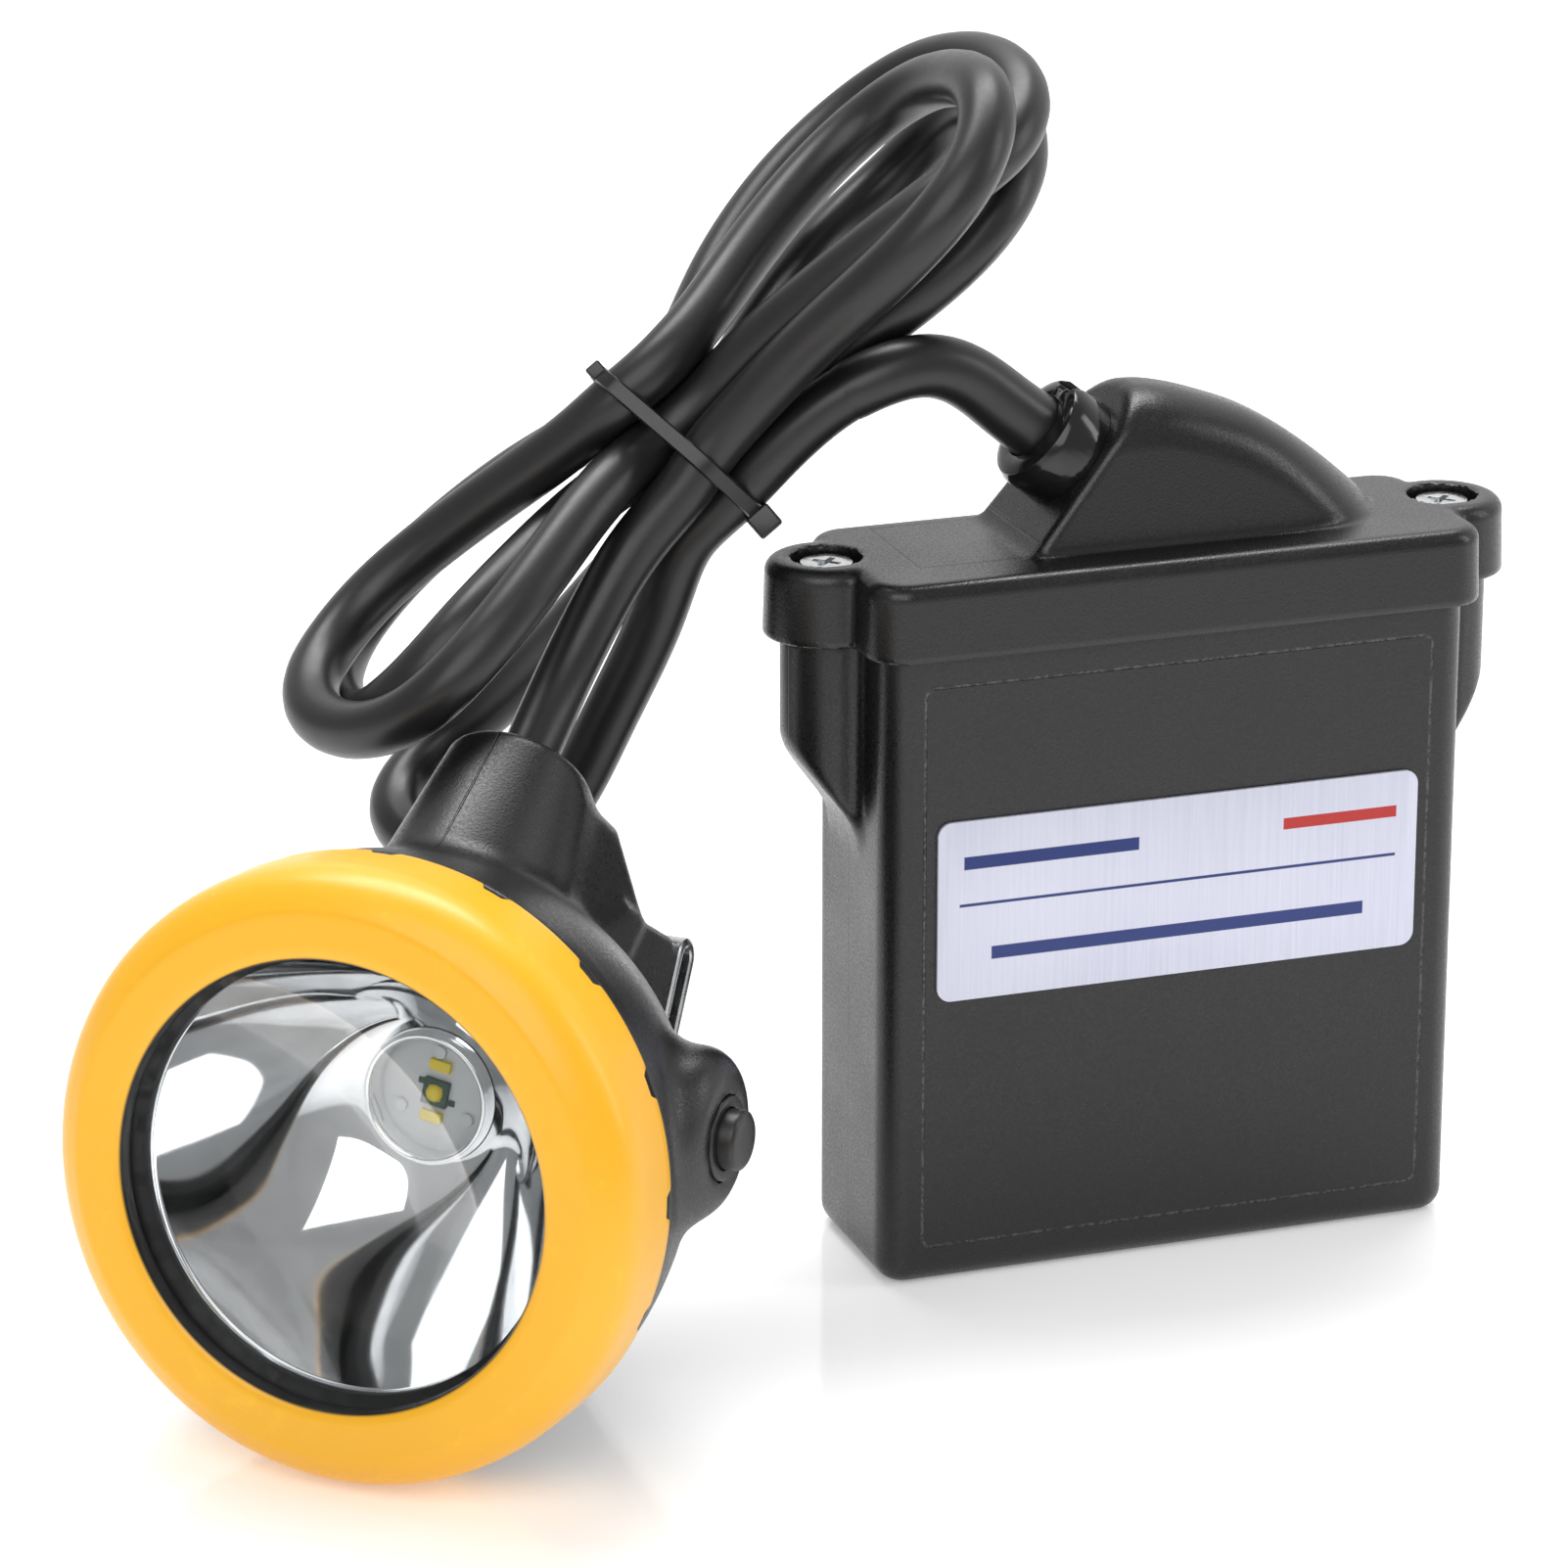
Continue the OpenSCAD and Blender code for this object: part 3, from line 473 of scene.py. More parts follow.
def surface_nets(field, low, high, step):
    """Points and quads of the field's zero level inside a box."""
    block = 4
    blocks = [int(math.ceil((high[k] - low[k]) / (step * block))) for k in range(3)]
    low = np.asarray(low, float)
    middle = [low[k] + step * (block * np.arange(blocks[k]) + (block - 1) / 2) for k in range(3)]
    coarse = field(np.stack(np.meshgrid(*middle, indexing="ij"), -1).reshape(-1, 3)).reshape(blocks)
    close = np.abs(coarse) < step * (block * 0.9 + 1)
    value = np.where(coarse < 0, -9.0, 9.0)
    for axis in range(3):
        value = np.repeat(value, block, axis)
        close = np.repeat(close, block, axis)
    cells = np.argwhere(close)
    value[close] = field(low + step * cells)
    inside = value < 0
    shape = [s - 1 for s in value.shape]
    total = sum(inside[i:shape[0] + i, j:shape[1] + j, k:shape[2] + k].astype(np.int8)
                for i, j, k in product((0, 1), repeat=3))
    active = (total > 0) & (total < 8)
    index = np.full(active.shape, -1)
    index[active] = np.arange(active.sum())
    cell = np.argwhere(active)
    place = np.zeros((len(cell), 3))
    hits = np.zeros(len(cell))
    for axis in range(3):
        unit = np.eye(3, dtype=int)[axis]
        others = [k for k in range(3) if k != axis]
        for a, b in product((0, 1), repeat=2):
            start = cell.copy()
            start[:, others[0]] += a
            start[:, others[1]] += b
            v0, v1 = value[tuple(start.T)], value[tuple((start + unit).T)]
            crossed = (v0 < 0) != (v1 < 0)
            share = np.where(crossed, v0 / np.where(crossed, v0 - v1, 1), 0)
            place += np.where(crossed[:, None], start + share[:, None] * unit, 0)
            hits += crossed
    points = low + step * place / hits[:, None]
    for _ in range(3):
        d = field(points)
        h = 0.02
        slope = np.stack([(field(points + h * e) - field(points - h * e)) / (2 * h) for e in np.eye(3)], 1)
        move = d[:, None] * slope / np.maximum((slope ** 2).sum(1), 0.2)[:, None]
        reach = np.linalg.norm(move, axis=1, keepdims=True)
        points = points - move * np.minimum(1, 0.45 * step / np.maximum(reach, 1e-9))
    quads = []
    for axis in range(3):
        e_b, e_c = np.eye(3, dtype=int)[(axis + 1) % 3], np.eye(3, dtype=int)[(axis + 2) % 3]
        first = np.take(inside, range(value.shape[axis] - 1), axis)
        second = np.take(inside, range(1, value.shape[axis]), axis)
        edge = np.argwhere(first != second)
        good = np.all((edge - e_b - e_c >= 0) & (edge < shape), axis=1)
        edge = edge[good]
        outward = first[tuple(edge.T)]
        corners = np.stack([index[tuple((edge - e_b - e_c).T)], index[tuple((edge - e_c).T)],
                            index[tuple(edge.T)], index[tuple((edge - e_b).T)]], 1)
        quads.append(np.where(outward[:, None], corners, corners[:, ::-1]))
    return points, np.vstack(quads)


def soft_min(a, b, k):
    """Union of two fields with a fillet."""
    h = np.maximum(k - np.abs(a - b), 0) / k
    return np.minimum(a, b) - h * h * k / 4


def round_and(a, b, r):
    """Intersection of two fields with a rounded outer edge."""
    return np.hypot(np.maximum(a + r, 0), np.maximum(b + r, 0)) + np.minimum(np.maximum(a + r, b + r), 0) - r


def polygon_field(u, v, outline):
    """Signed distance to a closed polygon in a plane."""
    best = np.full(u.shape, 1e9)
    inside = np.zeros(u.shape, bool)
    count = len(outline)
    for i in range(count):
        (ax, ay), (bx, by) = outline[i], outline[(i + 1) % count]
        dx, dy = bx - ax, by - ay
        t = np.clip(((u - ax) * dx + (v - ay) * dy) / max(dx * dx + dy * dy, 1e-12), 0, 1)
        best = np.minimum(best, (u - ax - t * dx) ** 2 + (v - ay - t * dy) ** 2)
        if ay != by:
            inside ^= ((ay > v) != (by > v)) & (u < (v - ay) * dx / dy + ax)
    return np.where(inside, -1, 1) * np.sqrt(best)


def rounded_rectangle(x, y, w, d, r):
    qx, qy = np.abs(x) - w / 2 + r, np.abs(y) - d / 2 + r
    return np.hypot(np.maximum(qx, 0), np.maximum(qy, 0)) + np.minimum(np.maximum(qx, qy), 0) - r


def in_frame(points, place):
    """Points of the parent frame, seen in a local frame."""
    inverse = place.inverted()
    return points @ np.array(inverse.to_3x3()).T + np.array(inverse.translation)


# ---- Cord ----

CABLE_D = 7.6
TIE_W, TIE_T, TIE_S, TIE_SKEW = 2.3, 1.0, -2.2, 0.14
HANK_AT = Vector((-59.8, 9.9, 114.6))
HANK_SLANT = math.radians(41)
HANK_S = right * math.cos(HANK_SLANT) + up * math.sin(HANK_SLANT)
HANK_T = right * math.sin(HANK_SLANT) - up * math.cos(HANK_SLANT)
HANK = Matrix((
    (HANK_S.x, HANK_T.x, back.x, HANK_AT.x), (HANK_S.y, HANK_T.y, back.y, HANK_AT.y),
    (HANK_S.z, HANK_T.z, back.z, HANK_AT.z), (0, 0, 0, 1)))
ROUTE = [
    # out of the gland and over to the tie
    (37.4, 37.5, -9.8), (36.5, 34, -8), (35.7, 30.5, -6.2), (34.8, 27.1, -4.4), (33.9, 23.5, -2.5),
    (32.9, 19, -0.2), (30.8, 14.2, 2.4), (26.4, 10.8, 4.4), (18, 9, 5), (8, 8.8, 3.5), (0, 9, 2),
    # lowest loop, behind the neck
    (-8, 12, -1.5), (-17.5, 14.5, -6), (-27, 18, -10.5), (-36, 21.5, -13.5), (-45, 25, -15.5),
    (-54, 25.5, -17), (-61, 20, -20), (-64, 13, -27), (-61, 8, -34), (-52, 8, -37), (-41, 8, -33.5),
    (-30, 7.5, -26), (-20, 6.5, -18), (-9, 6, -9.5), (0, 6, -5.5),
    # rear upper loop
    (9, 6, -4), (18, 5.5, -1.5), (27, 5.5, 1.5), (36, 5.5, 3.5), (46, 5, 3.5), (54, 2.5, 0.5),
    (59.5, -3, -8), (59.5, -9.5, -18), (54, -10.8, -26.5), (44.5, -10.3, -30.5), (34, -10, -28),
    (23, -7.8, -21), (12, -4.2, -13), (0, -1.5, -7),
    # second lower loop
    (-10, -2.5, -6), (-20, -2.5, -2), (-30, -1.5, 4), (-40, -0.5, 9), (-49, 1, 9.5), (-56, -0.5, 3),
    (-59, -4, -6), (-56.5, -8.5, -15.5), (-49, -12, -22), (-38, -13.5, -23.5), (-27, -13, -18.5),
    (-15, -11.5, -10.5), (0, -9, -4),
    # second upper loop
    (10, -12.5, -9.5), (21, -16.5, -15.5), (33, -19.5, -20), (45, -20, -22), (55, -18.5, -17.5),
    (61, -13.5, -7), (61.5, -7.5, 4), (56.5, -3, 12), (47, -1.5, 14.5), (36, -2.2, 12.5), (24, -2.8, 9),
    (11, -3, 4.5), (0, -3.5, 1),
    # front lower loop
    (-11, -2.5, 6.5), (-22, 0, 13), (-32, 2.5, 18.5), (-42, 4, 21.5), (-51, 4.5, 20), (-58, 1, 13),
    (-61, -4.5, 3.5), (-56.5, -9.5, -4.5), (-47.5, -12.5, -8.5), (-37, -12.5, -8), (-25, -11.5, -4),
    (-12, -10, 1), (0, -9.5, 4.5),
    # front upper loop
    (12, -11.5, -0.5), (24, -14.5, -6.5), (35, -16.5, -10.5), (46, -17, -11.5), (54, -15.5, -6),
    (58, -11, 4), (57, -6, 14), (51.5, -2, 21.5), (43, 0.5, 24), (33, 1.5, 21), (22, 1.5, 15.5),
    (11, 1.5, 9), (0, 2.5, 5),
    # from the tie into the neck
    (-10, 4.5, 5), (-17, 6.5, 5), (-23.5, 9, 5.3), (-29.7, 11.4, 6.3), (-35.5, 14, 8.3), (-40.8, 16.6, 11.2),
    (-45.8, 19.2, 14.8), (-51.1, 21.9, 18.5),
]


HELD, NUDGE, EASE, HOMING, STRETCH, LONGEST_MOVE = 8, 0.8, 0.05, 0.004, 0.15, 0.6
TIE_ROOM, TIE_REACH = (-9.9, 9.5), 5


def relaxed(path, diameter, rounds=600):
    """The cable's own stiffness and thickness: strands pushed a diameter apart and drawn in by the tie, bends
    eased, length kept."""
    home = path.copy()
    step = length_of(path) / (len(path) - 1)
    apart = int(2.4 * diameter / step)
    held = np.ones((len(path), 1))
    held[:HELD] = held[-HELD:] = 0
    gap = diameter * 1.012
    for turn_no in range(rounds):
        if turn_no % 12 == 0:
            away = path[:, None] - path[None]
            near = (away ** 2).sum(2) < (1.35 * diameter) ** 2
            first, second = np.nonzero(np.triu(near, apart))
        push = np.zeros_like(path)
        count = np.ones(len(path))
        away = path[first] - path[second]
        reach = np.linalg.norm(away, axis=1) + 1e-9
        short = np.maximum(gap - reach, 0)
        nudge = away / reach[:, None] * short[:, None] * NUDGE
        np.add.at(push, first, nudge)
        np.add.at(push, second, -nudge)
        np.add.at(count, first, short > 0)
        np.add.at(count, second, short > 0)
        push /= np.maximum(count - 1, 1)[:, None]
        bend = path[:-2] - 2 * path[1:-1] + path[2:]
        ease = np.zeros_like(path)
        ease[:-2] -= bend
        ease[1:-1] += 2 * bend
        ease[2:] -= bend
        link = np.diff(path, axis=0)
        size = np.linalg.norm(link, axis=1, keepdims=True)
        pull = link / size * (size - step) * STRETCH
        move = push + EASE * ease + HOMING * (home - path)
        strapped = np.exp(-((path[:, 0] - TIE_S) / TIE_REACH) ** 2)
        move[:, 1] -= 0.5 * strapped * (path[:, 1] - np.clip(path[:, 1], *TIE_ROOM))
        move[:-1] += pull
        move[1:] -= pull
        far = np.linalg.norm(move, axis=1, keepdims=True)
        path = path + held * move * np.minimum(1, LONGEST_MOVE / np.maximum(far, 1e-9))
    return path


rough_path = curve_through(ROUTE, 1600)
cord_path = relaxed(evenly(rough_path, int(length_of(rough_path) / 2.5) + 1), CABLE_D)
CORD_STEP = 1.2
fine_path = curve_through(cord_path, int(length_of(cord_path) / CORD_STEP) + 1)


def to_row(points):
    return np.asarray(points, float) @ np.array(HANK.to_3x3()).T + np.array(HANK.translation)


cord_row = to_row(fine_path)
curve = bpy.data.curves.new("cable", "CURVE")
curve.dimensions = "3D"
curve.bevel_depth = CABLE_D / 2 * MM
curve.bevel_resolution = 8
curve.use_fill_caps = True
spline = curve.splines.new("POLY")
spline.points.add(len(cord_row) - 1)
spline.points.foreach_set("co", np.hstack([cord_row * MM, np.ones((len(cord_row), 1))]).ravel())
curve.materials.append(cable_rubber)
cable = bpy.data.objects.new("cable", curve)
bpy.context.collection.objects.link(cable)
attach(cable, "lamp")
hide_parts("cord_gland_lead", "cord_hank", "cord_low_loop", "cord_head_lead")

# Strain relief sleeve on the first stretch out of the gland: an even collar, then a taper
SLEEVE_L = 42
sleeve_path = cord_row[:int(SLEEVE_L / CORD_STEP)]
along = np.linspace(0, 1, len(sleeve_path))
SLEEVE_R, SLEEVE_TAPER, COLLAR_SHARE = 4.7, 0.72, 0.12
sleeve_radii = SLEEVE_R - np.maximum(along - COLLAR_SHARE, 0) / (1 - COLLAR_SHARE) * SLEEVE_TAPER
sleeve_radii[-1] = CABLE_D / 2 + 0.05
sleeve = add_piece("strain_relief_sleeve", *sweep(sleeve_path, sleeve_radii, 40), cable_rubber,
                   slot="black_rubber", replaces=("strain_relief",), sharp=60)

# Tie: a strap drawn taut round the strands, its head, and its cut tail


def hull_of(points):
    """Convex outline of flat points."""
    points = sorted(map(tuple, points))

    def half(seq):
        out = []
        for p in seq:
            while len(out) > 1 and ((out[-1][0] - out[-2][0]) * (p[1] - out[-2][1])
                                    - (out[-1][1] - out[-2][1]) * (p[0] - out[-2][0])) <= 0:
                out.pop()
            out.append(p)
        return out[:-1]

    return np.array(half(points) + half(points[::-1]))


offset = fine_path[:, 0] - TIE_S - TIE_SKEW * fine_path[:, 1]
crossing = np.nonzero(np.diff(np.sign(offset)))[0]
strands = fine_path[crossing][:, 1:]
circle = np.linspace(0, 2 * math.pi, 48, endpoint=False)
ring_points = np.concatenate([s + (CABLE_D / 2 + 0.05) * np.stack([np.cos(circle), np.sin(circle)], 1)
                              for s in strands])
loop = hull_of(ring_points)
loop = evenly(np.vstack([loop, loop[:1]]), 181)[:-1]
outward = np.roll(loop, -1, 0) - np.roll(loop, 1, 0)
outward = np.stack([outward[:, 1], -outward[:, 0]], 1)
outward /= np.linalg.norm(outward, axis=1, keepdims=True)
for _ in range(6):
    outward = (np.roll(outward, 1, 0) + outward + np.roll(outward, -1, 0))
    outward /= np.linalg.norm(outward, axis=1, keepdims=True)
section = [(-TIE_W / 2, 0), (-TIE_W / 2, TIE_T * 0.6), (-TIE_W / 2 + 0.25, TIE_T), (TIE_W / 2 - 0.25, TIE_T),
           (TIE_W / 2, TIE_T * 0.6), (TIE_W / 2, 0)]
tie_points, tie_faces = [], []
for (t, d), (nt, nd) in zip(loop, outward):
    for s, rise in section:
        tie_points.append((TIE_S + TIE_SKEW * t + s, t + nt * rise, d + nd * rise))
for i in range(len(loop)):
    for k in range(len(section)):
        j, m = (i + 1) % len(loop), (k + 1) % len(section)
        tie_faces.append(tuple(a * len(section) + b for a, b in ((i, k), (j, k), (j, m), (i, m))))


def rounded_box(centre, size, r, count=4):
    """A box with rounded edges, as points and faces."""
    points, faces = [], []
    half = np.array(size) / 2 - r
    ticks = [np.concatenate([-h + r * np.linspace(-1, 0, count), h + r * np.linspace(0, 1, count)])
             for h in half]
    for axis in range(3):
        b, c = (axis + 1) % 3, (axis + 2) % 3
        for sign in (-1, 1):
            base = len(points)
            for u in ticks[b]:
                for v in ticks[c]:
                    p = np.zeros(3)
                    p[axis], p[b], p[c] = sign * (half[axis] + r), u, v
                    core = np.clip(p, -half, half)
                    away = p - core
                    points.append(core + away / max(np.linalg.norm(away), 1e-9) * r + centre)
            nb, nc = len(ticks[b]), len(ticks[c])
            for i in range(nb - 1):
                for j in range(nc - 1):
                    quad = [base + i * nc + j, base + (i + 1) * nc + j, base + (i + 1) * nc + j + 1,
                            base + i * nc + j + 1]
                    faces.append(quad if sign > 0 else quad[::-1])
    return points, faces


def joined(*parts):
    """Several meshes as one."""
    points, faces = [], []
    for p, f in parts:
        faces += [tuple(i + len(points) for i in q) for q in f]
        points += [tuple(q) for q in p]
    return points, faces


low_t, high_t = loop[:, 0].min(), loop[:, 0].max()
d_low = float(loop[np.argmin(loop[:, 0]), 1])
d_high = float(loop[np.argmax(loop[:, 0]), 1])
tie = add_piece(
    "tie_strap",
    *joined((tie_points, tie_faces),
            rounded_box((TIE_S + TIE_SKEW * high_t, high_t + 1.5, d_high + 0.6), (3.6, 3.4, 4.6), 0.4),
            rounded_box((TIE_S + TIE_SKEW * low_t, low_t - 0.6, d_low + 2.2), (2.2, 2.2, 1.2), 0.3)),
    tie_nylon, slot="tie_nylon", place=HANK, replaces=("cable_tie",), sharp=35)

# ---- Battery ----

def ear_fields(x, y, r):
    return np.minimum(np.hypot(x - EAR_X, y), np.hypot(x + EAR_X, y)) - r


def cavity(x, y):
    """The hollow that the case and the lid share."""
    return rounded_rectangle(x, y - CASE_Y, CASE_W - 2 * WALL, CASE_D - 2 * WALL, 1.2)


def case_field(p):
    """Open box with a screw ear on each side, each ear on a slanted foot."""
    x, y, z = p.T
    body = rounded_rectangle(x, y - CASE_Y, CASE_W, CASE_D, 4)
    body = round_and(body, -z, 3.2)
    web = np.maximum(np.abs(y) - 5.2, np.maximum(38 - np.abs(x), np.abs(x) - EAR_X))
    ear = soft_min(ear_fields(x, y, CASE_EAR_R), web, 2.0)
    foot = ((np.abs(x) - CASE_W / 2) * 12 - (z - 62) * 9) / 15
    ear = round_and(ear, foot, 1.2)
    solid = soft_min(body, ear, 2.6)
    solid = round_and(solid, z - CASE_H, 0.35)
    bay = np.maximum(cavity(x, y), 2.9 - z)
    screw = np.maximum(ear_fields(x, y, 3.1), CASE_H - 10 - z)
    return np.maximum(solid, -np.minimum(bay, screw))


RIDGE = [(-3.2, 119.5), (0.5, 119.3), (4.5, 118.4), (9, 116.9), (14, 114.9), (19, 112.1), (24, 108.5),
         (28.5, 104.8), (32.5, 101.2), (35.5, 97.5)]
ridge_line = curve_through(RIDGE, 30).tolist()


def dome_field(p):
    """Cable dome on the lid, cut square to the gland."""
    x, y, z = p.T
    side = polygon_field(x, z, ridge_line + [(35.5, 90), (-30, 90), (-30, 119.5)])
    pad = in_frame(p, GLAND)[:, 2]
    narrow = np.clip((x - 14) / 22.5, 0, 1)
    half = 10.8 * np.sqrt(np.maximum(1 - narrow ** 2.4, 0.002)) - 0.10 * (z - LID_TOP)
    flank = (np.abs(y) - half) * 0.86
    shell = round_and(side, flank, 7.0)
    shell = round_and(shell, pad, 1.1)
    return np.maximum(shell, 92 - z)


def lid_field(p):
    """Lid slab over the case with its ears and dome, hollow below, with screw holes and the gland's bore."""
    x, y, z = p.T
    draft = np.clip(LID_TOP - z, 0, LID_TOP - CASE_H) * 0.03
    rim = rounded_rectangle(x, y - LID_Y, LID_W, LID_D, 5)
    outline = soft_min(rim - draft, ear_fields(x, y, LID_EAR_R) - draft, 1.4)
    slab = round_and(outline, z - LID_TOP, 1.9)
    slab = round_and(slab, CASE_H - z, 0.45)
    dome = dome_field(p)
    solid = soft_min(slab, dome, 1.1)
    hollow = np.maximum(cavity(x, y), z - LID_TOP + 2.8)
    hollow = np.minimum(hollow, np.maximum(dome + 2.6, 90 - z))
    holes = np.minimum(ear_fields(x, y, 2.0), round_and(ear_fields(x, y, 4.8), LID_TOP - 3.4 - z, 0.4))
    gland = in_frame(p, GLAND)
    bore = np.maximum(np.hypot(gland[:, 0], gland[:, 1]) - 6.0, -gland[:, 2] - 7)
    return np.maximum(solid, -np.minimum(np.minimum(hollow, holes), bore))


add_piece("case_shell", *surface_nets(case_field, (-53, -17.5, -2), (53, 14.5, 91), 0.62), case_plastic,
          slot="charcoal_plastic", replaces=("battery_case",), sharp=50)
add_piece("lid_shell", *surface_nets(lid_field, (-55, -20, 87), (55, 15, 122), 0.55), lid_plastic,
          slot="charcoal_plastic", replaces=("battery_lid",), sharp=50)

# ---- Headpiece ----

BOWL = [(39, 18.5), (37.9, 24), (36.2, 30), (34, 35.5), (31.2, 41.5), (26, 48), (18.5, 53.4),
        (9, 56.7), (0, 57.6)]
BOWL_IN = [(35.8, 18.5), (35.4, 22), (34, 28), (31.4, 34.5), (28.6, 40.3), (23.8, 46.2), (17, 51.1),
           (8.2, 54.2), (0, 55)]
bowl_line = [(0, 7.5), (34.6, 7.5), (34.6, 15.2), (39, 15.2), (39.4, 15.6)]
bowl_line += curve_through(BOWL, 34).tolist()
hollow_line = [(0, 6), (32, 6), (32, 16)] + curve_through(BOWL_IN, 30).tolist()
LUG = [(45.8, 24.3), (56.3, 25), (60.8, 22.1), (71.7, 16.75), (73.4, 13.8), (60.2, -11.05), (55.8, -13.25),
       (46, 0)]
GUSSET = [(34, 26), (50.8, 42.3), (61.1, 34.1), (63.2, 20.7), (50.8, 12)]


def housing_field(p):
    """Bowl with neck, gusset, rear lug and switch boss, hollow inside, on three posts for the heat sink."""
    x, y, z = p.T
    r = np.hypot(x, z)
    bowl = polygon_field(r, y, bowl_line)
    n = in_frame(p, NECK_IN_HEAD)
    radius = NECK_R + np.clip(-n[:, 2], 0, 34) * NECK_SPREAD
    neck = round_and((np.hypot(n[:, 0], n[:, 1]) - radius) * 0.99, n[:, 2], 1.3)
    neck = np.maximum(neck, -n[:, 2] - 32)
    solid = soft_min(bowl, neck, 2.6)
    spread = 9.3 + 5.3 * np.clip((43 - z) / 20, 0, 1)
    gusset = round_and(polygon_field(y, z, GUSSET), (np.abs(x) - spread) * 0.97, 2.6)
    solid = soft_min(solid, gusset, 2.0)
    lug = round_and(polygon_field(y, z, LUG), np.abs(x) - LUG_HALF, 0.8)
    solid = soft_min(solid, lug, 1.6)
    boss = round_and(np.hypot(y - SWITCH_Y, (z - SWITCH_Z) * 0.96) - BOSS_R, x - BOSS_X, 4.6)
    boss = np.maximum(boss, 15 - x)
    solid = soft_min(solid, boss, 3.2)
    hollow = polygon_field(r, y, hollow_line)
    axis = np.hypot(n[:, 0], n[:, 1])
    bore = np.minimum(np.maximum(axis - 4.0, -n[:, 2] - 36), np.maximum(axis - 7.0, -n[:, 2] - 8))
    well = np.maximum(np.hypot(y - SWITCH_Y, z - SWITCH_Z) - WELL_R, 24 - x)
    posts = np.full(x.shape, 9.0)
    for angle in (30, 150, 270):
        a = math.radians(angle)
        post = np.hypot(x - POST_AT * math.cos(a), z + POST_AT * math.sin(a)) - POST_R
        posts = np.minimum(posts, np.maximum(post, np.maximum(35.6 - y, y - 49.5)))
    solid = np.minimum(np.maximum(solid, -hollow), posts)
    return np.maximum(solid, -np.minimum(bore, well))


add_piece("housing_shell", *surface_nets(housing_field, (-41, 6, -41), (43, 77, 56), 0.62), head_plastic,
          slot="charcoal_plastic", place=HEAD, replaces=("lamp_housing",), sharp=50)

# Bezel ring: turned profile with trapezoid notches in its rear edge
BEZEL = [(29.0, 2.6), (29.0, 0.9), (29.25, 0.45), (29.8, 0.12), (30.6, 0)]
BEZEL += curve_through([(31.2, 0), (33.6, 0), (34.9, 0.02), (35.4, 0.1), (35.8, 0.32), (36.4, 0.72),
                        (37.4, 1.42), (38.7, 2.75), (39.6, 4.5), (39.96, 6.6), (BEZEL_R, 9)], 34).tolist()
BEZEL += [(39.96, 11), (39.92, 12.6), (39.9, 13.4), (39.86, 14.6), (39.7, 15.0), (34.75, 15.0), (34.75, 13.4),
          (34.7, 4.85), (32.15, 4.8), (32.1, 2.6)]
NOTCHES, NOTCH_HALF, NOTCH_SLOPE, NOTCH_DEEP = 16, 1.25, 0.9, 1.45
NOTCH_TOP, BEZEL_REAR, REAR_R = 13.2, 15.0, 39.8


def notched(r, h, angle):
    """Notches of a trapezoid shape, cut into the rear edge with soft corners."""
    if h < NOTCH_TOP:
        return r, h
    pitch = 2 * math.pi / NOTCHES
    away = abs((angle + pitch / 2) % pitch - pitch / 2) * REAR_R
    cut = min(max((NOTCH_HALF + NOTCH_SLOPE - away) / NOTCH_SLOPE, 0), 1)
    cut = cut * cut * (3 - 2 * cut)
    return r, h - cut * NOTCH_DEEP * (h - NOTCH_TOP) / (BEZEL_REAR - NOTCH_TOP)


add_piece("bezel", *lathe(BEZEL, 768, "Y", notched), golden_plastic, slot="golden_plastic", place=HEAD,
          replaces=("bezel_ring",), sharp=38)

# Reflector: a smooth dish with faint waves pressed into it
REF_IN, REF_OUT, REF_BASE, REF_TOP, LED_UP = 9.0, 28.4, 29.5, 7.5, 4.3
dish = []
for i in range(61):
    u = (i / 60) ** 1.15
    dish.append((REF_IN + (REF_OUT - REF_IN) * u ** 0.62, REF_BASE - (REF_BASE - REF_TOP) * u))
dish_back = [(r + 1.3, h + 0.8) for r, h in dish[::-4]]
REFLECTOR = [(REF_IN, 30.8)] + dish + [(28.4, 6.35), (34.5, 6.35), (34.5, 7.45), (31.5, 7.45)] + dish_back
REFLECTOR += [(REF_IN + 1.4, 30.8)]


def waved(r, h, angle):
    """Faint waves, strongest half way down the dish."""
    if h > 30 or r > 28.3:
        return r, h
    share = math.sin(math.pi * min(max((REF_BASE - h) / 22, 0), 1))
    ripple = 0.022 * math.sin(5 * angle + 0.22 * h) + 0.012 * math.sin(9 * angle + 1.3 - 0.3 * h)
    return r + share * ripple, h


def leaning(x, y, z):
    """The dish leans up towards the light window, which sits above the axis."""
    return x, y, z + LED_UP * min(max((y - REF_TOP) / (REF_BASE - REF_TOP), 0), 1)


dish_points, dish_faces = lathe(REFLECTOR, 288, "Y", waved)
add_piece("reflector_dish", [leaning(*q) for q in dish_points], dish_faces, chrome, slot="chrome", place=HEAD,
          replaces=("reflector",), sharp=45)
WINDOW = HEAD @ at(0, 0, LED_UP)
WINDOW_RIM = [(7.7, 27.8), (7.85, 27.4), (8.15, 27.15), (8.5, 27.25), (8.8, 27.6), (8.9, 28.1), (8.9, 30.9),
              (7.75, 30.9)]
add_piece("window_ring", *lathe(WINDOW_RIM, 160, "Y"), chrome, slot="chrome", place=WINDOW,
          replaces=("led_ring",), sharp=60)

# LEDs: package, pads and dome
LED_FRONT = 31.0


def chip(x, sunk, z, size, r=0.08):
    """A small box on the board, its middle sunk behind the LED's front."""
    return rounded_box((x, LED_FRONT - sunk, z), size, r, 3)


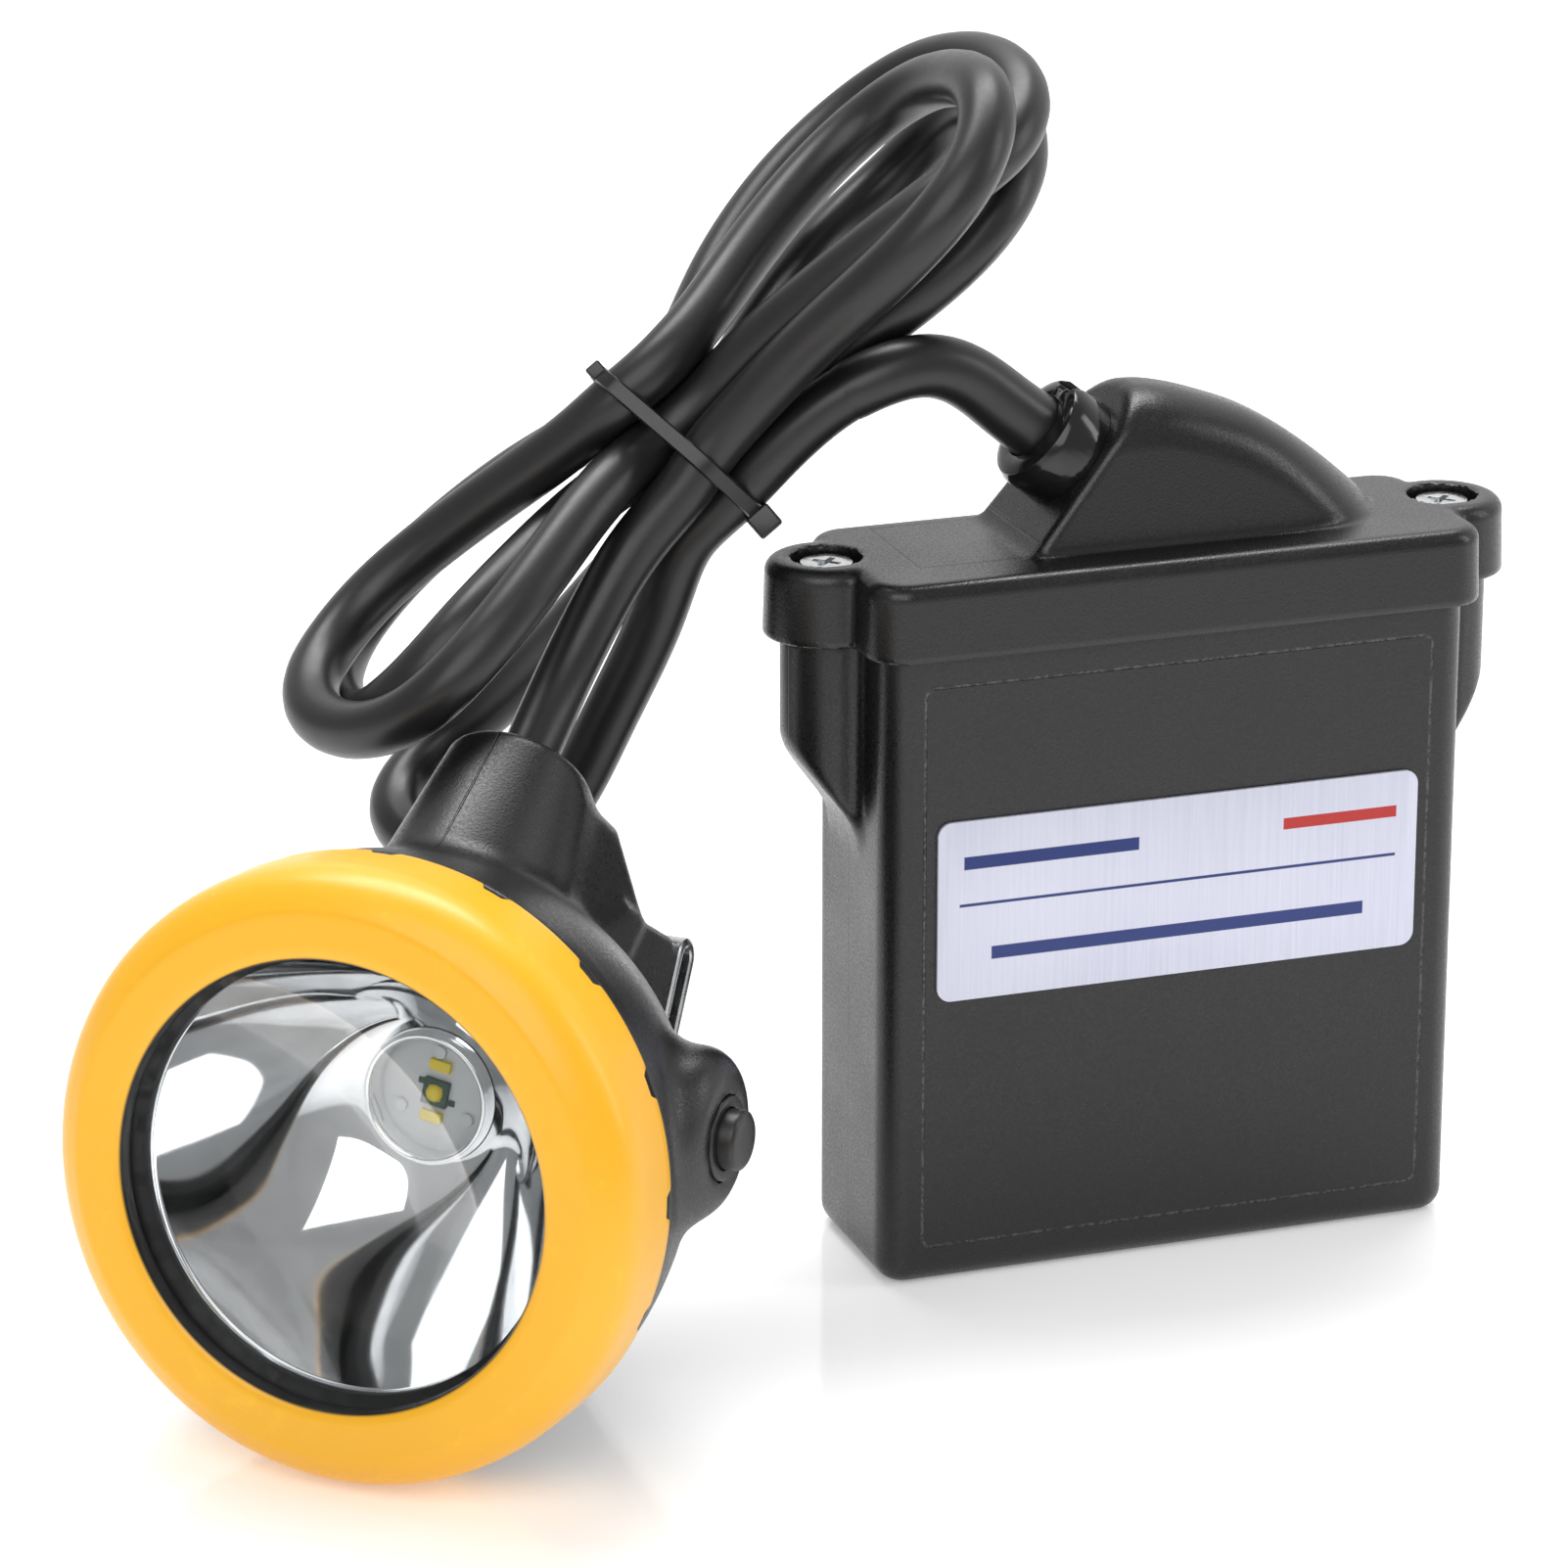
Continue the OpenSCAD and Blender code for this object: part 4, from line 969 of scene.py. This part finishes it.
def dome_cap(r, rise, at_y, count=12):
    """A dome facing forward, open at its foot."""
    profile = [(r * math.sin(a), at_y - rise * math.cos(a)) for a in np.linspace(0, math.pi / 2, count)]
    points, faces = [], []
    segments = 36
    for i in range(segments):
        a = 2 * math.pi * i / segments
        points += [(max(q, 1e-4) * math.cos(a), h, max(q, 1e-4) * math.sin(a)) for q, h in profile]
    for i in range(segments):
        j = (i + 1) % segments
        faces += [(i * count + k, j * count + k, j * count + k + 1, i * count + k + 1)
                  for k in range(count - 1)]
    return points, faces


LED_PLACE = WINDOW @ turn("Y", 10)
PAD, SIDE_LED = (0.9, 0.2, 0.8), (2.9, 0.84, 1.4)
add_piece("led_package", *joined(chip(0, 0.4, 0, (3.5, 0.8, 3.5)), chip(-2.3, 0.1, 0.9, PAD, 0.04),
                                 chip(2.3, 0.1, -0.9, PAD, 0.04)),
          led_base, slot="phosphor", place=LED_PLACE, replaces=("main_led",))
add_piece("led_dome", *joined(dome_cap(1.15, 0.9, LED_FRONT - 0.78),
                              chip(0, 0.82, 0, (1.9, 0.12, 1.9), 0.04)),
          phosphor, slot="phosphor", place=LED_PLACE)
add_piece("side_leds", *joined(chip(0, 0.42, 3.7, SIDE_LED), chip(0, 0.42, -3.3, SIDE_LED)), phosphor,
          slot="phosphor", place=LED_PLACE, replaces=("aux_leds",))

# Push button: slightly domed face with a soft edge
BUTTON = [(0.01, 34.05), (3.75, 34.05), (3.88, 34.2), (3.88, 42.35), (3.78, 42.75), (3.45, 43.0),
          (2.6, 43.12), (1.3, 43.19), (0.01, 43.2)]
add_piece("push_button", *lathe(BUTTON, 96), button_rubber, body="button", slot="black_rubber", place=SWITCH,
          replaces=("switch_button",), sharp=50)

# Return spring under the button, pressed together between the collar's floor and the button
SPRING_LOW, SPRING_HIGH, SPRING_R, WIRE_R, SPRING_TURNS = 31.65, 33.75, 2.6, 0.25, 2
share = np.linspace(0, 1, 97)
wound = 2 * math.pi * SPRING_TURNS * share
spring_path = np.stack([SPRING_R * np.cos(wound), SPRING_R * np.sin(wound),
                        SPRING_LOW + (SPRING_HIGH - SPRING_LOW) * share], 1)
spring = add_piece("return_spring", *sweep(spring_path, np.full(len(share), WIRE_R), 12), screw_steel,
                   body=None, slot="steel", place=SWITCH, replaces=("button_spring",), sharp=60)
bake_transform(spring)

# Helmet clip: one folded strip; its leaf bends at the fold
CLIP_W, CLIP_T, FOLD_R = 30.0, 1.4, 2.9
middle_r = FOLD_R - CLIP_T / 2
strip = [(-middle_r, -32.0), (-middle_r, -16.0), (-middle_r, -2.0)]
strip += [(-middle_r * math.cos(a), middle_r * math.sin(a)) for a in np.linspace(0, math.pi, 17)]
strip += [(middle_r, -2.0), (middle_r, -12), (middle_r, -22), (middle_r, -34), (middle_r - 0.05, -44),
          (middle_r + 0.25, -49), (middle_r + 0.55, -51)]
clip_points = []
strip = evenly(np.array(strip), 110)
facing = np.gradient(strip, axis=0)
facing /= np.linalg.norm(facing, axis=1, keepdims=True)
EDGE, TAPER_AT, TIP_AT, TIP_HALF = 0.3, -22, -46, 10
for (y, z), (fy, fz) in zip(strip, facing):
    ny, nz = -fz, fy
    half = CLIP_W / 2
    if y > 0 and z <= TIP_AT:
        half = TIP_HALF - (TIP_AT - z) * 0.8
    elif y > 0 and z < TAPER_AT:
        half -= (TAPER_AT - z) / (TAPER_AT - TIP_AT) * (CLIP_W / 2 - TIP_HALF)
    inset = half - EDGE
    rim = [(-half, EDGE - 0.5), (-half, 0.5 - EDGE), (-inset, 0.5), (inset, 0.5), (half, 0.5 - EDGE),
           (half, EDGE - 0.5), (inset, -0.5), (-inset, -0.5)]
    clip_points += [(x, y + ny * t * CLIP_T, z + nz * t * CLIP_T) for x, t in rim]
clip = add_piece("clip_strip", clip_points, skin(len(strip), len(rim)), sheet_steel, body=None, slot="steel",
                 place=CLIP, replaces=("helmet_clip", "clip_leaf"), sharp=50)
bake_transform(clip)

# ---- CAD nodes that stay ----


SHARP = math.radians(35)


def dress(node, material, bevel):
    """Finish of a CAD node, with softened edges."""
    o = NODES[node]
    o.data.materials.clear()
    o.data.materials.append(material)
    weld = o.modifiers.new("weld", "WELD")
    weld.merge_threshold = 1e-6
    if bevel:
        soft = o.modifiers.new("bevel", "BEVEL")
        soft.width = bevel * MM
        soft.segments = 3
        soft.limit_method = "ANGLE"
        soft.angle_limit = SHARP
        soft.harden_normals = True
    o.data.shade_smooth()
    o.data.set_sharp_from_angle(angle=SHARP)


FINISHES = [
    ("lid_gasket", seal_rubber, 0.0), ("lid_screws", screw_steel, 0.15), ("thread_inserts", brass, 0.0),
    ("battery_cells", cell_wrap, 0.5), ("cell_holders", inner_plastic, 0.2),
    ("nickel_strips", nickel, 0.0), ("protection_board", green_board, 0.1),
    ("gland_nut", gloss_plastic, 0.3), ("gland_seal", seal_rubber, 0.0),
    ("gland_pin", gloss_plastic, 0.2), ("nameplate", nameplate_finish, 0.12), ("lens", clear_lens, 0.0),
    ("lens_gasket", seal_rubber, 0.0), ("led_board", white_board, 0.1),
    ("board_screws", white_board, 0.15), ("heat_sink", aluminium, 0.15),
    ("heat_sink_screws", screw_steel, 0.15), ("driver_board", green_board, 0.1),
    ("button_collar", head_plastic, 0.25), ("tact_switch", screw_steel, 0.1),
    ("clip_screws", screw_steel, 0.2), ("neck_grommet", seal_rubber, 0.3),
]
for name, material, bevel in FINISHES:
    dress(name, material, bevel)

# ---- Stage ----

floor_material = Nodes("floor")
floor_tone = floor_material.mix(floor_material.noise(400, 2), (0.93, 0.93, 0.935), (0.96, 0.96, 0.965))
floor_material.surface(Base_Color=floor_tone, Roughness=0.10, Specular_IOR_Level=0.5,
                       Emission_Color=(1.0, 1.0, 1.0), Emission_Strength=0.25)
floor_mesh = bpy.data.meshes.new("floor")
FLOOR = 6.0
floor_mesh.from_pydata([(-FLOOR, -FLOOR, 0), (FLOOR, -FLOOR, 0), (FLOOR, FLOOR, 0), (-FLOOR, FLOOR, 0)], [],
                       [(0, 1, 2, 3)])
floor_mesh.materials.append(floor_material.material)
floor = bpy.data.objects.new("floor", floor_mesh)
bpy.context.collection.objects.link(floor)

# A room that is bright behind the lamp and dim on the viewer's side
DIM, BRIGHT, TURN_FROM, TURN_TO = 0.44, 1.12, 0.1, 0.95
world = bpy.data.worlds.new("studio")
world.use_nodes = True
links, kinds = world.node_tree.links, world.node_tree.nodes
direction = kinds.new("ShaderNodeTexCoord")
behind = kinds.new("ShaderNodeVectorMath")
behind.operation = "DOT_PRODUCT"
behind.inputs[1].default_value = (0.6, 0.8, 0.0)
links.new(direction.outputs["Generated"], behind.inputs[0])
level = kinds.new("ShaderNodeMapRange")
level.interpolation_type = "SMOOTHSTEP"
for socket, value in zip(level.inputs[1:5], (TURN_FROM, TURN_TO, DIM, BRIGHT)):
    socket.default_value = value
links.new(behind.outputs["Value"], level.inputs["Value"])
background = kinds["Background"]
background.inputs["Color"].default_value = (1.0, 1.0, 1.0, 1.0)
links.new(level.outputs["Result"], background.inputs["Strength"])
bpy.context.scene.world = world


def softbox(name, place, target, size, power):
    """A rectangular light, placed in metres and aimed at a target."""
    light = bpy.data.lights.new(name, "AREA")
    light.shape = "RECTANGLE"
    light.size, light.size_y = size
    light.energy = power
    lamp = bpy.data.objects.new(name, light)
    lamp.location = place
    lamp.rotation_euler = (Vector(target) - Vector(place)).to_track_quat("-Z", "Y").to_euler()
    bpy.context.collection.objects.link(lamp)


softbox("key", (-0.5, -0.8, 0.75), (-0.06, 0, 0.05), (1.0, 0.8), 6.0)
softbox("top", (0.0, 0.35, 1.0), (-0.03, 0, 0.05), (0.9, 0.4), 10.0)
softbox("right", (0.75, -0.35, 0.45), (0, 0, 0.06), (0.2, 0.6), 1.5)

view = bpy.context.scene.view_settings
view.view_transform = "Standard"
view.look = "None"
view.exposure = 0.0
